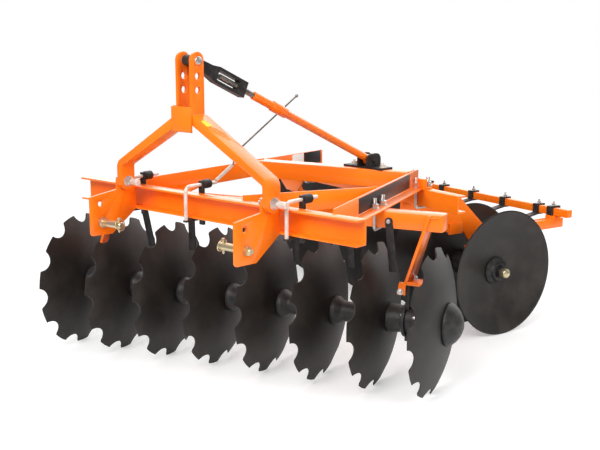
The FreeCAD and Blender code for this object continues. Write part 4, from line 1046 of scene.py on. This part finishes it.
# %% Weld beads
WELDS = (
    (HARROW, 291.5, 9.0, 696, 291.5, 9.0, 748), (HARROW, 282.5, 9.0, 702, 282.5, 9.0, 748),
    (HARROW, 1276.5, 9.0, 696, 1276.5, 9.0, 748), (HARROW, 1286.0, 9.0, 702, 1286.0, 9.0, 748),
    (HARROW, 1290.0, 9.0, 700.5, 1325.0, 9.0, 700.5), (HARROW, 278.0, 9.0, 700.5, 244.0, 9.0, 700.5),
    (HARROW, 268.3, 698.0, 765, 266.0, 770.0, 765), (HARROW, 1000.5, 849.0, 765, 977.0, 920.0, 765),
    (HARROW, 268.6, 696.6, 696, 268.6, 696.6, 763), (HARROW, 1000.6, 846.5, 696, 1000.6, 846.5, 763),
    (HARROW, 872.0, 9.5, 696, 872.0, 9.5, 748), (HARROW, 1116.0, 468.0, 765, 1106.0, 463.0, 765),
    (HARROW, 338.6, -46.0, 742, 338.6, -2.0, 742), (HARROW, 1088.6, -46.0, 742, 1088.6, -2.0, 742),
    (HARROW, 338.6, -44.0, 668, 338.6, -2.0, 668), (HARROW, 1088.6, -44.0, 668, 1088.6, -2.0, 668),
    (HARROW, 678.0, -134.4, 1053, 690.0, -134.4, 1053), (HARROW, 748.0, -134.4, 1053, 760.0, -134.4, 1053),
    (HARROW, 677.6, -133.0, 1053, 677.6, -75.0, 1053), (HARROW, 760.4, -133.0, 1053, 760.4, -75.0, 1053),
    (HARROW, 664.0, -134.2, 995, 758.0, -134.2, 995), (HARROW, 664.0, -134.2, 1083, 676.0, -134.2, 1083),
    (REAR_GANG, 448.0, -444.0, 619, 680.0, -444.0, 619), (REAR_GANG, 1430.0, -452.0, 619, 1430.0, -410.0, 619),
    (REAR_GANG, 1416.8, -452.0, 619, 1416.8, -410.0, 619), (REAR_GANG, 1430.0, -38.0, 372.5, 1430.0, 58.0, 372.5),
    (FRONT_GANG, 180.0, -44.0, 432.5, 140.0, -44.0, 432.5), (FRONT_GANG, 1548.0, -44.0, 432.5, 1508.0, -44.0, 432.5),
    (FRONT_GANG, 214.0, -33.5, 678, 252.0, -33.5, 678), (FRONT_GANG, 1582.0, -33.5, 678, 1620.0, -33.5, 678),
)
for number, place in enumerate((HARROW, FRONT_GANG, REAR_GANG)):
    forge = Forge(place)
    for home, x0, y0, z0, x1, y1, z1 in WELDS:
        if home is place:
            forge.bead((x0, y0, z0), (x1, y1, z1), 3.6)
    forge.make("weld_beads_%d" % (number + 1), "frame", ORANGE, 60.0)
print("beads:", len(WELDS))

# %% [markdown]
# Four blank labels: thin films, flat on the plate that carries them. Three lie
# on the webs of the side members. The small yellow one lies on the upper face
# of the mast's right leg and runs down its slope.

# %% Labels
def label(name, place, corners, lift, finish):
    forge = Forge(place)
    forge.slab(corners, lift, 0.15)
    return forge.make(name, "frame", finish, 30.0)


def member_panel(name, place, s0, s1, z0, z1, face, finish):
    return label(name, place, [(s0, face, z0), (s1, face, z0), (s1, face, z1), (s0, face, z1)],
                 (0, -0.5, 0), finish)


member_panel("long_panel", RIGHT_MEMBER, 240.0, 868.0, 703.5, 760.0, -8.05, BLACK_VINYL)
member_panel("white_panel", LEFT_MEMBER, 962.0, 1046.0, 704.0, 762.0, -0.05, WHITE_VINYL)
member_panel("black_panel", LEFT_MEMBER, 1049.0, 1176.0, 704.0, 763.0, -0.05, BLACK_VINYL)
tag_way = Vector((0.867, 0.0, -0.498))
tag_face = Vector((0.498, 0.0, 0.867))
tag_middle = Vector((810.0, -115.0, 1027.5))
tag_side = Vector((0.0, 12.0, 0.0))
label("yellow_tag", HARROW, [tag_middle - tag_way * 18 - tag_side, tag_middle + tag_way * 18 - tag_side,
                             tag_middle + tag_way * 18 + tag_side, tag_middle - tag_way * 18 + tag_side],
      tag_face * 0.6, YELLOW_VINYL)
print("labelled")
